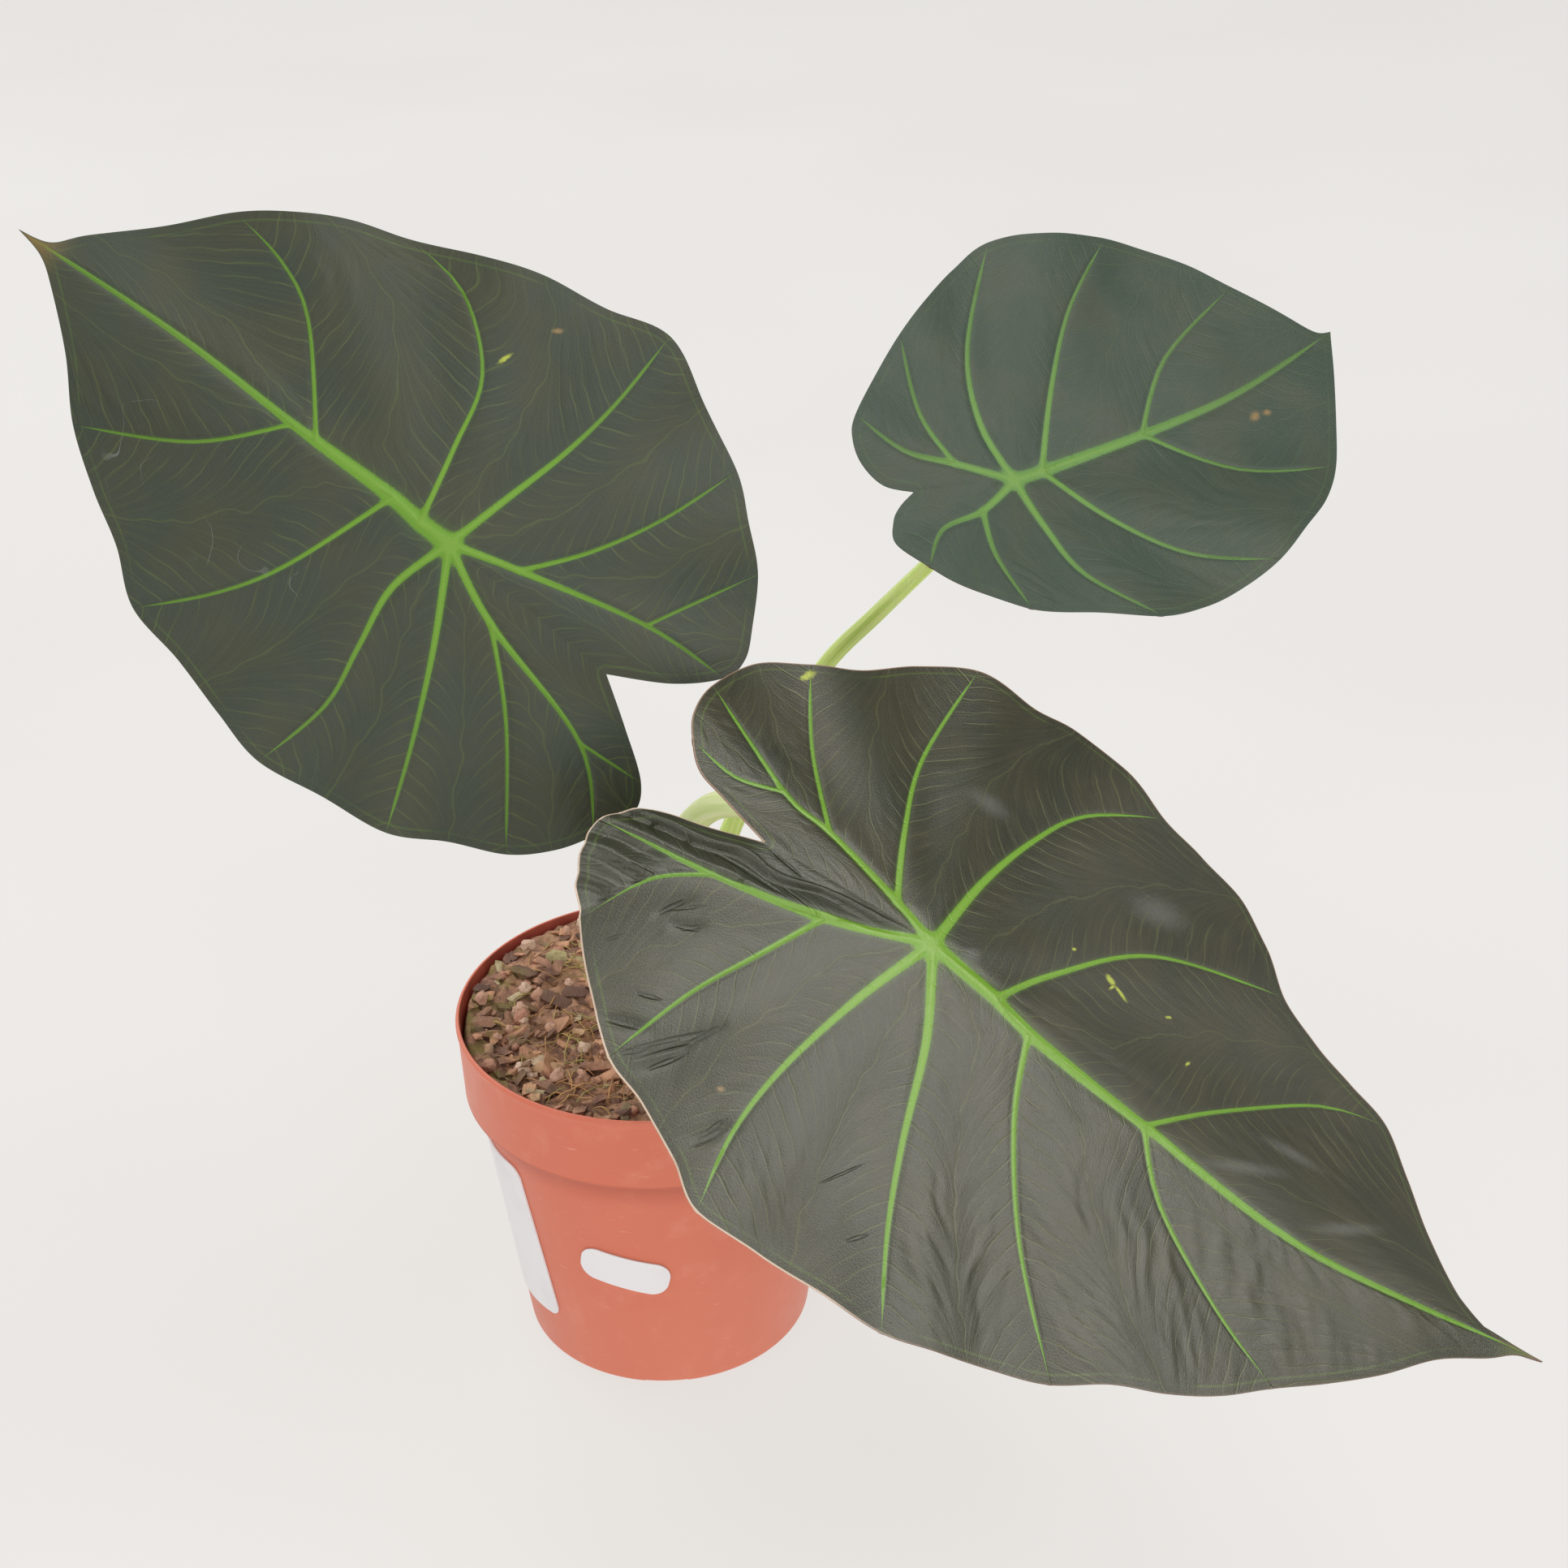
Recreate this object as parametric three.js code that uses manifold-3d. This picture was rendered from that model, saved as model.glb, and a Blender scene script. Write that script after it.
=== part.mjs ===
// Potted alocasia: three shield leaves on arching stalks, growing in a round nursery pot.
// Millimetres, +Z up. The origin is the centre of the pot's flat base, and the front of the
// plant faces -Y.
import * as THREE from 'three';
import { mergeVertices } from 'three/addons/utils/BufferGeometryUtils.js';
import Module from 'manifold-3d';

const wasm = await Module();
wasm.setup();

const GAP = 0.3; // free space kept between pieces that touch on the real plant
const MERGE = 1e-3; // points closer than this are one point

// Pot: a 12 cm nursery pot with a straight collar over a tapered body.
const POT = {
  sides: 48,
  height: 110,
  rimRadius: 60,
  collarHeight: 25,
  collarRadius: 58.6,
  bodyTopRadius: 54.4,
  baseRadius: 43.8,
  wall: 1.4,
  floor: 2.4,
  lip: 1.2,
  step: 2.2,
  foot: 1.6,
  edge: 0.6,
};
const DRAIN = { count: 6, width: 13, depth: 1.6, innerRadius: 20, hole: 4, holeRadius: 30 };
const HOLE_SIDES = 16;

// Soil: fills the pot to a little under the rim, with a plain hole for each stalk.
const SOIL = { belowRim: 5, play: 0.4, rings: 9, cutAbove: 10, holePlay: 0.9 };
const LUMPS = { height: 1.5, alongX: 0.83, alongY: 0.71, swirl: 1.6, swirlPitch: 0.4 };

// Blades: one thin waved sheet each, with ribs raised on the underside.
const BLADE = { thickness: 0.8, groove: 0.4, quilt: 0.045, foldRadius: 6, rimLimit: 1.6 };
const MIDRIB = { width: [2.8, 0.8], height: [2.6, 0.5] };
const SIDE_RIB = { width: [1.8, 0.7], height: [1.5, 0.3] };

// Each leaf is drawn flat, in millimetres from the point where its stalk joins: u runs to the
// tip and v across. `edge` goes from the tip to the notch, and an entry with a name is where
// that rib meets the edge. A rib forks from its parent at a row, and each point of its course
// gives the row that it lies on. Rows are counted from the stalk to the edge.
const LEFT_LEAF = {
  name: 'left',
  junction: [-43, -53, 284],
  tipDirection: [-0.78, 0.15, 0.6],
  facing: [0.16, -0.89, 0.42],
  shape: { fold: 0.1, cup: 0.02, droop: 0.07, lobeDroop: 0.06, twist: -0.02 },
  wave: { height: 1.6, count: 10, phase: 0.5, reach: 75 },
  rows: 12,
  midrib: [[0, 0, 0], [1, 9, 0], [2, 18, -1], [4, 41, -1], [5, 48, -1], [8, 84, -2], [12, 129, 0]],
  notch: [-51, 3],
  sides: [
    {
      edge: [
        [129, 0], [121, 2], [114, 7], [102, 18], [91, 31, 'a'], [78, 41], [65, 49], [53, 59, 'b'], [37, 63],
        [21, 68], [6, 72, 'c'], [-12, 70], [-30, 68, 'd'], [-44, 61], [-58, 55, 'e'], [-67, 47],
        [-73, 38, 'lobe'], [-78, 28], [-75, 20, 'inner'], [-63, 11], [-51, 3],
      ],
      ribs: {
        a: { fork: ['midrib', 5], course: [[8, 65, 17], [12, 91, 31]] },
        b: { fork: ['midrib', 2], course: [[6, 29, 28], [9, 39, 44], [12, 53, 59]] },
        c: { fork: ['midrib', 0], course: [[3, 5, 17], [6, 3, 34], [9, 1, 51], [12, 6, 72]] },
        d: { fork: ['midrib', 0], course: [[4, -12, 23], [8, -22, 46], [12, -30, 68]] },
        lobe: { fork: ['midrib', 0], course: [[3, -20, 10], [8, -56, 21], [12, -73, 38]] },
        e: { fork: ['lobe', 3], course: [[7, -38, 28], [12, -58, 55]] },
        inner: { fork: ['lobe', 8], course: [[12, -75, 20]] },
      },
    },
    {
      edge: [
        [129, 0], [121, -2], [115, -9], [102, -22], [90, -35, 'a'], [78, -44], [66, -51], [52, -56, 'b'],
        [36, -63], [20, -69], [3, -72], [-14, -76, 'c'], [-31, -68], [-48, -59, 'd'], [-58, -50],
        [-68, -41, 'e'], [-75, -29], [-78, -21], [-76, -14, 'lobe'], [-66, -5], [-51, 3],
      ],
      ribs: {
        a: { fork: ['midrib', 4], course: [[8, 60, -24], [10, 74, -32], [12, 90, -35]] },
        b: { fork: ['midrib', 1], course: [[4, 13, -20], [7, 18, -39], [10, 34, -53], [12, 52, -56]] },
        c: { fork: ['midrib', 0], course: [[3, -5, -18], [6, -10, -36], [9, -13, -54], [12, -14, -76]] },
        lobe: { fork: ['midrib', 0], course: [[3, -18, -5], [8, -52, -13], [12, -76, -14]] },
        d: { fork: ['lobe', 3], course: [[6, -30, -20], [9, -40, -38], [12, -48, -59]] },
        e: { fork: ['lobe', 8], course: [[12, -68, -41]] },
      },
    },
  ],
};

const FRONT_LEAF = {
  name: 'front',
  junction: [74, -126, 210],
  tipDirection: [0.82, -0.15, -0.55],
  facing: [0.41, -0.52, 0.75],
  shape: { fold: 0.17, cup: 0, droop: 0.02, lobeDroop: 0.16, twist: -0.07 },
  wave: { height: 1.8, count: 11, phase: 2, reach: 95 },
  rows: 14,
  midrib: [[0, 0, 0], [2, 20, -3], [3, 31, -6], [6, 67, -10], [10, 121, -14], [14, 189, -3]],
  notch: [-47, 1],
  sides: [
    {
      edge: [
        [189, -3], [181, -6], [174, -11], [161, -19], [149, -30], [136, -40], [123, -49, 'a'], [111, -58],
        [98, -65], [85, -70], [72, -77, 'b'], [58, -81], [44, -85], [30, -88, 'c'], [14, -86],
        [-3, -86], [-20, -85, 'd'], [-30, -76], [-42, -68], [-54, -63, 'e'], [-65, -50],
        [-75, -36, 'f'], [-82, -25], [-83, -13, 'lobe'], [-74, -5], [-60, -2], [-47, 1],
      ],
      ribs: {
        a: { fork: ['midrib', 6], course: [[8, 79, -25], [11, 101, -39], [14, 123, -49]] },
        b: { fork: ['midrib', 3], course: [[6, 37, -27], [10, 51, -52], [14, 72, -77]] },
        c: { fork: ['midrib', 0], course: [[3, 9, -21], [7, 15, -46], [10, 21, -66], [14, 30, -88]] },
        d: { fork: ['midrib', 0], course: [[4, -10, -22], [8, -18, -46], [11, -21, -65], [14, -20, -85]] },
        lobe: { fork: ['midrib', 0], course: [[4, -26, -9], [9, -54, -13], [14, -83, -13]] },
        e: { fork: ['lobe', 4], course: [[7, -35, -24], [10, -45, -41], [14, -54, -63]] },
        f: { fork: ['lobe', 9], course: [[12, -66, -21], [14, -75, -36]] },
      },
    },
    {
      edge: [
        [189, -3], [181, -4], [173, -5], [161, 1], [151, 13], [144, 27], [135, 39, 'a'], [121, 43],
        [107, 46], [94, 52, 'b'], [86, 66], [77, 78], [62, 81], [47, 82, 'c'], [32, 90],
        [16, 93], [1, 88], [-16, 87, 'd'], [-31, 78], [-44, 65], [-56, 58, 'e'], [-68, 51],
        [-75, 37, 'lobe'], [-76, 26], [-73, 18, 'inner'], [-68, 11], [-60, 7], [-47, 1],
      ],
      ribs: {
        a: { fork: ['midrib', 6], course: [[9, 88, 10], [12, 114, 31], [14, 135, 39]] },
        b: { fork: ['midrib', 2], course: [[5, 32, 14], [9, 56, 38], [14, 94, 52]] },
        c: { fork: ['midrib', 0], course: [[4, 6, 25], [8, 15, 48], [11, 26, 66], [14, 47, 82]] },
        lobe: { fork: ['midrib', 0], course: [[2, -12, 5], [6, -34, 13], [8, -48, 17], [14, -75, 37]] },
        d: { fork: ['lobe', 2], course: [[5, -17, 25], [9, -20, 50], [14, -16, 87]] },
        e: { fork: ['lobe', 6], course: [[10, -46, 34], [14, -56, 58]] },
        inner: { fork: ['lobe', 8], course: [[11, -60, 14], [14, -73, 18]] },
      },
    },
  ],
};

const BACK_LEAF = {
  name: 'back',
  junction: [104, 14, 270],
  tipDirection: [0.82, 0.55, 0.15],
  facing: [0.26, -0.59, 0.76],
  shape: { fold: -0.18, cup: 0, droop: 0.02, lobeDroop: 0.04, twist: 0 },
  wave: { height: 1.2, count: 8, phase: 1, reach: 60 },
  rows: 10,
  midrib: [[0, 0, 0], [1, 9, -1], [4, 43, -4], [7, 78, -5], [10, 119, 0]],
  notch: [-29, 9],
  sides: [
    {
      edge: [
        [119, 0], [110, -13], [100, -26], [89, -38, 'a'], [77, -46], [64, -51], [50, -56, 'b'],
        [36, -58], [22, -58], [8, -55, 'c'], [-7, -45], [-22, -36, 'd'], [-31, -25],
        [-38, -12, 'lobe'], [-42, -2], [-39, 4], [-35, 7], [-29, 9],
      ],
      ribs: {
        a: { fork: ['midrib', 4], course: [[7, 62, -26], [10, 89, -38]] },
        b: { fork: ['midrib', 1], course: [[4, 16, -22], [7, 29, -42], [10, 50, -56]] },
        c: { fork: ['midrib', 0], course: [[3, -2, -16], [6, -2, -34], [10, 8, -55]] },
        lobe: { fork: ['midrib', 0], course: [[3, -14, -4], [7, -28, -4], [10, -38, -12]] },
        d: { fork: ['lobe', 3], course: [[6, -20, -18], [10, -22, -36]] },
      },
    },
    {
      edge: [
        [119, 0], [114, 2], [107, 10], [96, 24, 'a'], [88, 35], [77, 44], [65, 51, 'b'], [47, 58],
        [30, 63, 'c'], [16, 60], [3, 55], [-10, 49, 'd'], [-22, 42], [-34, 34, 'lobe'], [-38, 29],
        [-39, 22], [-36, 14], [-29, 9],
      ],
      ribs: {
        a: { fork: ['midrib', 4], course: [[7, 63, 13], [10, 96, 24]] },
        b: { fork: ['midrib', 1], course: [[4, 26, 20], [7, 43, 37], [10, 65, 51]] },
        c: { fork: ['midrib', 0], course: [[3, -1, 18], [6, 7, 38], [10, 30, 63]] },
        lobe: { fork: ['midrib', 0], course: [[3, -14, 11], [7, -26, 20], [10, -34, 34]] },
        d: { fork: ['lobe', 3], course: [[6, -16, 27], [10, -10, 49]] },
      },
    },
  ],
};
const LEAVES = [LEFT_LEAF, FRONT_LEAF, BACK_LEAF];

// Stalks: centre lines from the soil to the leaf, and radii at the foot, the middle and the top.
const STALKS = {
  left: {
    route: [[-6, -2, 84], [-6, -2, 107], [-7, -8, 142], [-13, -21, 182], [-22, -31, 216], [-33, -39, 250]],
    radii: [4.6, 3.2, 2.6],
  },
  front: {
    route: [
      [4, -7, 84], [4, -7, 107], [4, -16, 140], [7, -27, 170], [13, -38, 192], [22, -50, 206],
      [34, -64, 212], [50, -87, 210], [62, -107, 205],
    ],
    radii: [5.4, 3.9, 3.2],
  },
  back: {
    route: [
      [5, 5, 84], [5, 5, 107], [15, 6, 142], [31, 8, 182], [52, 12, 216], [66, 14, 230],
      [81, 17, 244], [96, 19, 258],
    ],
    radii: [4.4, 2.6, 2.0],
  },
};
const STALK_SIDES = 10;
const STALK_STEP = 8;
const STALK_MEETS = MIDRIB.height[0] + BLADE.thickness + BLADE.groove + GAP;
const STALK_KNEE = 3;

// Labels: blank stickers on the pot's body. Angles are seen from above, from -Y towards +X.
const LABELS = [
  { name: 'label_small', angle: -12, height: 48, size: [27, 12.5], tilt: -12, corner: 5 },
  { name: 'label_large', angle: -74, height: 45, size: [48, 57], tilt: 6, corner: 4 },
];
const LABEL_THICKNESS = 0.5;
const LABEL_RINGS = 4;
const LABEL_POINTS = 36;

const MATERIALS = {
  pot: { color: 0xc96a52, roughness: 0.5 },
  soil: { color: 0x5c3f2e, roughness: 0.95 },
  stalk: { color: 0x9cb85a, roughness: 0.5 },
  blade: { color: 0x3f463a, roughness: 0.42 },
  label: { color: 0xf1efec, roughness: 0.6 },
};

function finish(slot) {
  return new THREE.MeshStandardMaterial({ ...MATERIALS[slot], metalness: 0 });
}

function bareGeometry(geometry) {
  geometry.deleteAttribute('normal');
  geometry.deleteAttribute('uv');
  return mergeVertices(geometry, MERGE);
}

function solidOf(geometry) {
  const bare = bareGeometry(geometry);
  return new wasm.Manifold(new wasm.Mesh({
    numProp: 3,
    vertProperties: new Float32Array(bare.attributes.position.array),
    triVerts: new Uint32Array(bare.index.array),
  }));
}

function geometryOf(solid) {
  const mesh = solid.getMesh();
  return meshGeometry(mesh.vertProperties, mesh.triVerts);
}

function meshGeometry(positions, triangles) {
  const geometry = new THREE.BufferGeometry();
  geometry.setAttribute('position', new THREE.BufferAttribute(new Float32Array(positions), 3));
  geometry.setIndex(new THREE.BufferAttribute(new Uint32Array(triangles), 1));
  geometry.computeVertexNormals();
  return geometry;
}

function upright(geometry) {
  return geometry.rotateX(Math.PI / 2);
}

function taper([start, end], fraction) {
  return start + (end - start) * fraction;
}

function bodyRadius(z) {
  const bodyTop = POT.height - POT.collarHeight - POT.step;
  return taper([POT.baseRadius, POT.bodyTopRadius], (z - POT.foot) / (bodyTop - POT.foot));
}

function turned(profile) {
  const points = profile.map(([radius, z]) => new THREE.Vector2(radius, z));
  return upright(new THREE.LatheGeometry(points, POT.sides));
}

function potShell() {
  const collarBottom = POT.height - POT.collarHeight;
  const innerStep = collarBottom + POT.step;
  return turned([
    [0, 0],
    [POT.baseRadius - POT.foot, 0],
    [POT.baseRadius, POT.foot],
    [POT.bodyTopRadius, collarBottom - POT.step],
    [POT.bodyTopRadius + POT.edge, collarBottom],
    [POT.collarRadius - POT.edge, collarBottom],
    [POT.collarRadius, collarBottom + POT.edge],
    [POT.rimRadius - POT.edge, POT.height - POT.lip * 2],
    [POT.rimRadius, POT.height - POT.lip],
    [POT.rimRadius - POT.edge, POT.height],
    [POT.rimRadius - POT.wall, POT.height],
    [POT.collarRadius - POT.wall, innerStep],
    [POT.bodyTopRadius - POT.wall, innerStep - POT.step],
    [POT.baseRadius - POT.wall, POT.floor],
    [0, POT.floor],
  ]);
}

function drainCutters() {
  const reach = POT.baseRadius + POT.wall;
  const cutters = [];
  for (let i = 0; i < DRAIN.count; i += 1) {
    const angle = ((i + 0.5) / DRAIN.count) * 2 * Math.PI;
    const length = reach - DRAIN.innerRadius;
    const groove = new THREE.BoxGeometry(length, DRAIN.width, DRAIN.depth * 2);
    groove.translate(DRAIN.innerRadius + length / 2, 0, 0).rotateZ(angle);
    const hole = upright(new THREE.CylinderGeometry(DRAIN.hole, DRAIN.hole, POT.floor * 4, HOLE_SIDES));
    hole.translate(DRAIN.holeRadius * Math.cos(angle), DRAIN.holeRadius * Math.sin(angle), 0);
    cutters.push(solidOf(groove), solidOf(hole));
  }
  return cutters;
}

function potGeometry() {
  return geometryOf(drainCutters().reduce((pot, cutter) => pot.subtract(cutter), solidOf(potShell())));
}

function soilLump(x, y) {
  const { height, alongX, alongY, swirl, swirlPitch } = LUMPS;
  const first = Math.sin(alongX * x + swirl * Math.sin(swirlPitch * y));
  const second = Math.cos(alongY * y - swirl * Math.sin(swirlPitch * x));
  return height * first * second;
}

function soilGeometry() {
  const top = POT.height - SOIL.belowRim;
  const collarBottom = POT.height - POT.collarHeight;
  const clear = POT.wall + SOIL.play;
  const topRadius = POT.collarRadius - clear;
  const profile = [
    [0, POT.floor + GAP],
    [POT.baseRadius - clear - SOIL.play, POT.floor + GAP],
    [POT.bodyTopRadius - clear, collarBottom + GAP],
    [topRadius, collarBottom + POT.step + GAP],
    [topRadius, top - LUMPS.height],
  ];
  for (let ring = 1; ring <= SOIL.rings; ring += 1) {
    profile.push([topRadius * (1 - ring / SOIL.rings), top]);
  }
  const body = turned(profile);
  const positions = body.attributes.position;
  for (let i = 0; i < positions.count; i += 1) {
    if (Math.abs(positions.getZ(i) - top) < MERGE) {
      positions.setZ(i, top + soilLump(positions.getX(i), positions.getY(i)));
    }
  }
  return geometryOf(stalkHoles(top).reduce((soil, hole) => soil.subtract(hole), solidOf(body)));
}

function stalkHoles(top) {
  return Object.values(STALKS).map(({ route, radii }) => {
    const radius = radii[0] + SOIL.holePlay;
    const [x, y, foot] = route[0];
    const bottom = foot - GAP;
    const height = top + SOIL.cutAbove - bottom;
    const hole = upright(new THREE.CylinderGeometry(radius, radius, height, HOLE_SIDES));
    return solidOf(hole.translate(x, y, bottom + height / 2));
  });
}

function leafBasis(leaf) {
  const across = new THREE.Vector3();
  const face = new THREE.Vector3(...leaf.facing).normalize();
  const along = new THREE.Vector3(...leaf.tipDirection);
  along.addScaledVector(face, -along.dot(face)).normalize();
  across.crossVectors(face, along);
  return { along, across, face };
}

// Height of the flat-drawn leaf's surface: folded along the midrib, drooping and waved.
function surface(leaf, u, v) {
  const { fold, cup, droop, lobeDroop, twist } = leaf.shape;
  const { height, count, phase, reach } = leaf.wave;
  const soft = BLADE.foldRadius;
  const ridge = -fold * (Math.hypot(v, soft) - soft) - (cup * v * v) / 100;
  const hang = (-(u > 0 ? droop : lobeDroop) * u * u + twist * u * v) / 100;
  const rim = Math.min((u * u + v * v) / (reach * reach), BLADE.rimLimit);
  return ridge + hang + height * rim * Math.sin(count * Math.atan2(v, u) + phase);
}

function splineAt(points, position) {
  const curve = new THREE.SplineCurve(points.map(([u, v]) => new THREE.Vector2(u, v)));
  return curve.getPoint(position / (points.length - 1));
}

// A rib's path as one point for each row, with the rib's half width and height there.
function ribPath(parentPath, forkRow, course, rows, size) {
  const path = parentPath ? parentPath.slice(0, forkRow + 1) : [];
  const start = parentPath ? [[forkRow, parentPath[forkRow].u, parentPath[forkRow].v]] : [course[0]];
  const stations = parentPath ? [...start, ...course] : course;
  const points = stations.map(([, u, v]) => [u, v]);
  for (let row = path.length; row <= rows; row += 1) {
    const k = Math.max(stations.findIndex(([stationRow]) => stationRow >= row) - 1, 0);
    const share = (row - stations[k][0]) / (stations[k + 1][0] - stations[k][0]);
    const { x, y } = splineAt(points, k + share);
    const fraction = row / rows;
    path.push({ u: x, v: y, width: taper(size.width, fraction), height: taper(size.height, fraction) });
  }
  return path;
}

// The paths of one half of a leaf, in order from the midrib to the notch.
function halfPaths(leaf, half, midrib) {
  const paths = { midrib };
  const pending = Object.entries(half.ribs);
  while (pending.length > 0) {
    const [name, rib] = pending.shift();
    const [parent, row] = rib.fork;
    if (paths[parent]) {
      paths[name] = ribPath(paths[parent], row, rib.course, leaf.rows, SIDE_RIB);
    } else {
      pending.push([name, rib]);
    }
  }
  return paths;
}

function notchPath(leaf, midrib) {
  const path = [midrib[0]];
  for (let row = 1; row <= leaf.rows; row += 1) {
    const share = row / leaf.rows;
    path.push({ u: leaf.notch[0] * share, v: leaf.notch[1] * share, width: 1, height: 0 });
  }
  return path;
}

// The sectors between neighbouring ribs, each with its stretch of the leaf's edge.
function sectorsOf(leaf) {
  const midrib = ribPath(null, 0, leaf.midrib, leaf.rows, MIDRIB);
  const notch = notchPath(leaf, midrib);
  const sectors = [];
  leaf.sides.forEach((half) => {
    const paths = halfPaths(leaf, half, midrib);
    let previous = { path: midrib, index: 0 };
    const ends = half.edge.flatMap((entry, index) => (entry[2] ? [{ path: paths[entry[2]], index }] : []));
    ends.push({ path: notch, index: half.edge.length - 1 });
    ends.forEach((end) => {
      sectors.push({ from: previous, to: end, edge: half.edge });
      previous = end;
    });
  });
  return sectors;
}

function forkRowOf(a, b) {
  let row = 0;
  while (row + 1 < a.length && a[row + 1] === b[row + 1]) row += 1;
  return row;
}

// Columns of points between two ribs, as shares of the way across: more beside the tip.
const COLUMNS = [0.36, 0.64];
const TIP_COLUMNS = [0.2, 0.45, 0.72];
const RIB_SHARE = 0.16; // the most of the way across that a rib takes up

// One sector as rows of points: raised a little between its ribs, grooved along them.
function sectorRows(leaf, sector) {
  const { from, to, edge } = sector;
  const fork = forkRowOf(from.path, to.path);
  const columns = from.index === 0 ? TIP_COLUMNS : COLUMNS;
  const rows = [];
  for (let row = fork; row <= leaf.rows; row += 1) {
    const a = from.path[row];
    const b = to.path[row];
    const width = Math.hypot(a.u - b.u, a.v - b.v);
    if (width < MERGE) {
      rows.push([ribPoint(leaf, a)]);
      continue;
    }
    const nearA = Math.min(RIB_SHARE, a.width / width);
    const nearB = 1 - Math.min(RIB_SHARE, b.width / width);
    const reach = (row - fork) / (leaf.rows - fork);
    const line = [ribPoint(leaf, a)];
    [nearA, ...columns, nearB].forEach((f) => {
      const rim = splineAt(edge, taper([from.index, to.index], f));
      const endA = from.path[leaf.rows];
      const endB = to.path[leaf.rows];
      const bulge = reach * reach;
      const u = taper([a.u, b.u], f) + bulge * (rim.x - taper([endA.u, endB.u], f));
      const v = taper([a.v, b.v], f) + bulge * (rim.y - taper([endA.v, endB.v], f));
      const pillow = BLADE.quilt * width * 4 * f * (1 - f) * (1 - bulge);
      line.push({ u, v, z: surface(leaf, u, v) + pillow, rib: 0 });
    });
    line.push(ribPoint(leaf, b));
    rows.push(line);
  }
  return rows;
}

function ribPoint(leaf, { u, v, height }) {
  const groove = height > 0 ? BLADE.groove : 0;
  return { u, v, z: surface(leaf, u, v) - groove, rib: height };
}

function bladeGeometry(leaf) {
  const { along, across, face } = leafBasis(leaf);
  const junction = new THREE.Vector3(...leaf.junction);
  const index = new Map();
  const points = [];
  const place = (point) => {
    const key = `${point.u.toFixed(3)},${point.v.toFixed(3)}`;
    if (!index.has(key)) {
      index.set(key, points.length);
      points.push(point);
    }
    return index.get(key);
  };
  const upper = [];
  const add = (a, b, c) => {
    if (a === b || b === c || a === c) return;
    const [p, q, r] = [points[a], points[b], points[c]];
    const turn = (q.u - p.u) * (r.v - p.v) - (q.v - p.v) * (r.u - p.u);
    upper.push(turn > 0 ? [a, b, c] : [a, c, b]);
  };
  sectorsOf(leaf).forEach((sector) => {
    const rows = sectorRows(leaf, sector).map((line) => line.map(place));
    for (let i = 0; i + 1 < rows.length; i += 1) {
      const inner = rows[i];
      const outer = rows[i + 1];
      for (let j = 0; j + 1 < outer.length; j += 1) {
        const c = inner[Math.min(j, inner.length - 1)];
        const d = inner[Math.min(j + 1, inner.length - 1)];
        add(c, outer[j], outer[j + 1]);
        add(c, outer[j + 1], d);
      }
    }
  });
  const positions = [];
  const put = (point, z) => {
    const at = junction.clone().addScaledVector(along, point.u);
    at.addScaledVector(across, point.v).addScaledVector(face, z);
    positions.push(at.x, at.y, at.z);
  };
  points.forEach((point) => put(point, point.z));
  points.forEach((point) => put(point, point.z - BLADE.thickness - point.rib));
  return meshGeometry(positions, closedSheet(upper, points.length));
}

// Closes a sheet of triangles with the same sheet below it and a band round its edge.
function closedSheet(upper, count) {
  const triangles = [];
  const edges = new Map();
  upper.forEach(([a, b, c]) => {
    triangles.push(a, b, c, a + count, c + count, b + count);
    [[a, b], [b, c], [c, a]].forEach(([p, q]) => edges.set(`${p} ${q}`, [p, q]));
  });
  edges.forEach(([p, q]) => {
    if (!edges.has(`${q} ${p}`)) triangles.push(p, p + count, q, q, p + count, q + count);
  });
  return triangles;
}

// A stalk: a round section swept along its route and tapered from foot to leaf.
function stalkGeometry(leaf) {
  const { route, radii } = STALKS[leaf.name];
  const { face } = leafBasis(leaf);
  const junction = new THREE.Vector3(...leaf.junction);
  const top = junction.clone().addScaledVector(face, -STALK_MEETS);
  const knee = junction.clone().addScaledVector(face, -STALK_MEETS - STALK_KNEE);
  const points = [...route.map((point) => new THREE.Vector3(...point)), knee, top];
  const curve = new THREE.CatmullRomCurve3(points, false, 'centripetal');
  const steps = Math.round(curve.getLength() / STALK_STEP);
  const frames = curve.computeFrenetFrames(steps);
  const tube = bareGeometry(new THREE.CylinderGeometry(1, 1, 1, STALK_SIDES, steps));
  const positions = tube.attributes.position;
  for (let i = 0; i < positions.count; i += 1) {
    const step = Math.round((positions.getY(i) + 0.5) * steps);
    const radius = stalkRadius(radii, step / steps);
    const at = curve.getPointAt(step / steps);
    at.addScaledVector(frames.binormals[step], radius * positions.getX(i));
    at.addScaledVector(frames.normals[step], radius * positions.getZ(i));
    positions.setXYZ(i, at.x, at.y, at.z);
  }
  tube.computeVertexNormals();
  return tube;
}

function stalkRadius([foot, middle, top], fraction) {
  return fraction < 0.5 ? taper([foot, middle], fraction * 2) : taper([middle, top], fraction * 2 - 1);
}

function roundedOutline([width, height], radius, count) {
  const x = width / 2 - radius;
  const y = height / 2 - radius;
  const quarter = Math.PI / 2;
  const shape = new THREE.Shape();
  shape.absarc(x, y, radius, 0, quarter, false);
  shape.absarc(-x, y, radius, quarter, 2 * quarter, false);
  shape.absarc(-x, -y, radius, 2 * quarter, 3 * quarter, false);
  shape.absarc(x, -y, radius, 3 * quarter, 4 * quarter, false);
  shape.closePath();
  return shape.getSpacedPoints(count).slice(0, count);
}

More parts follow.
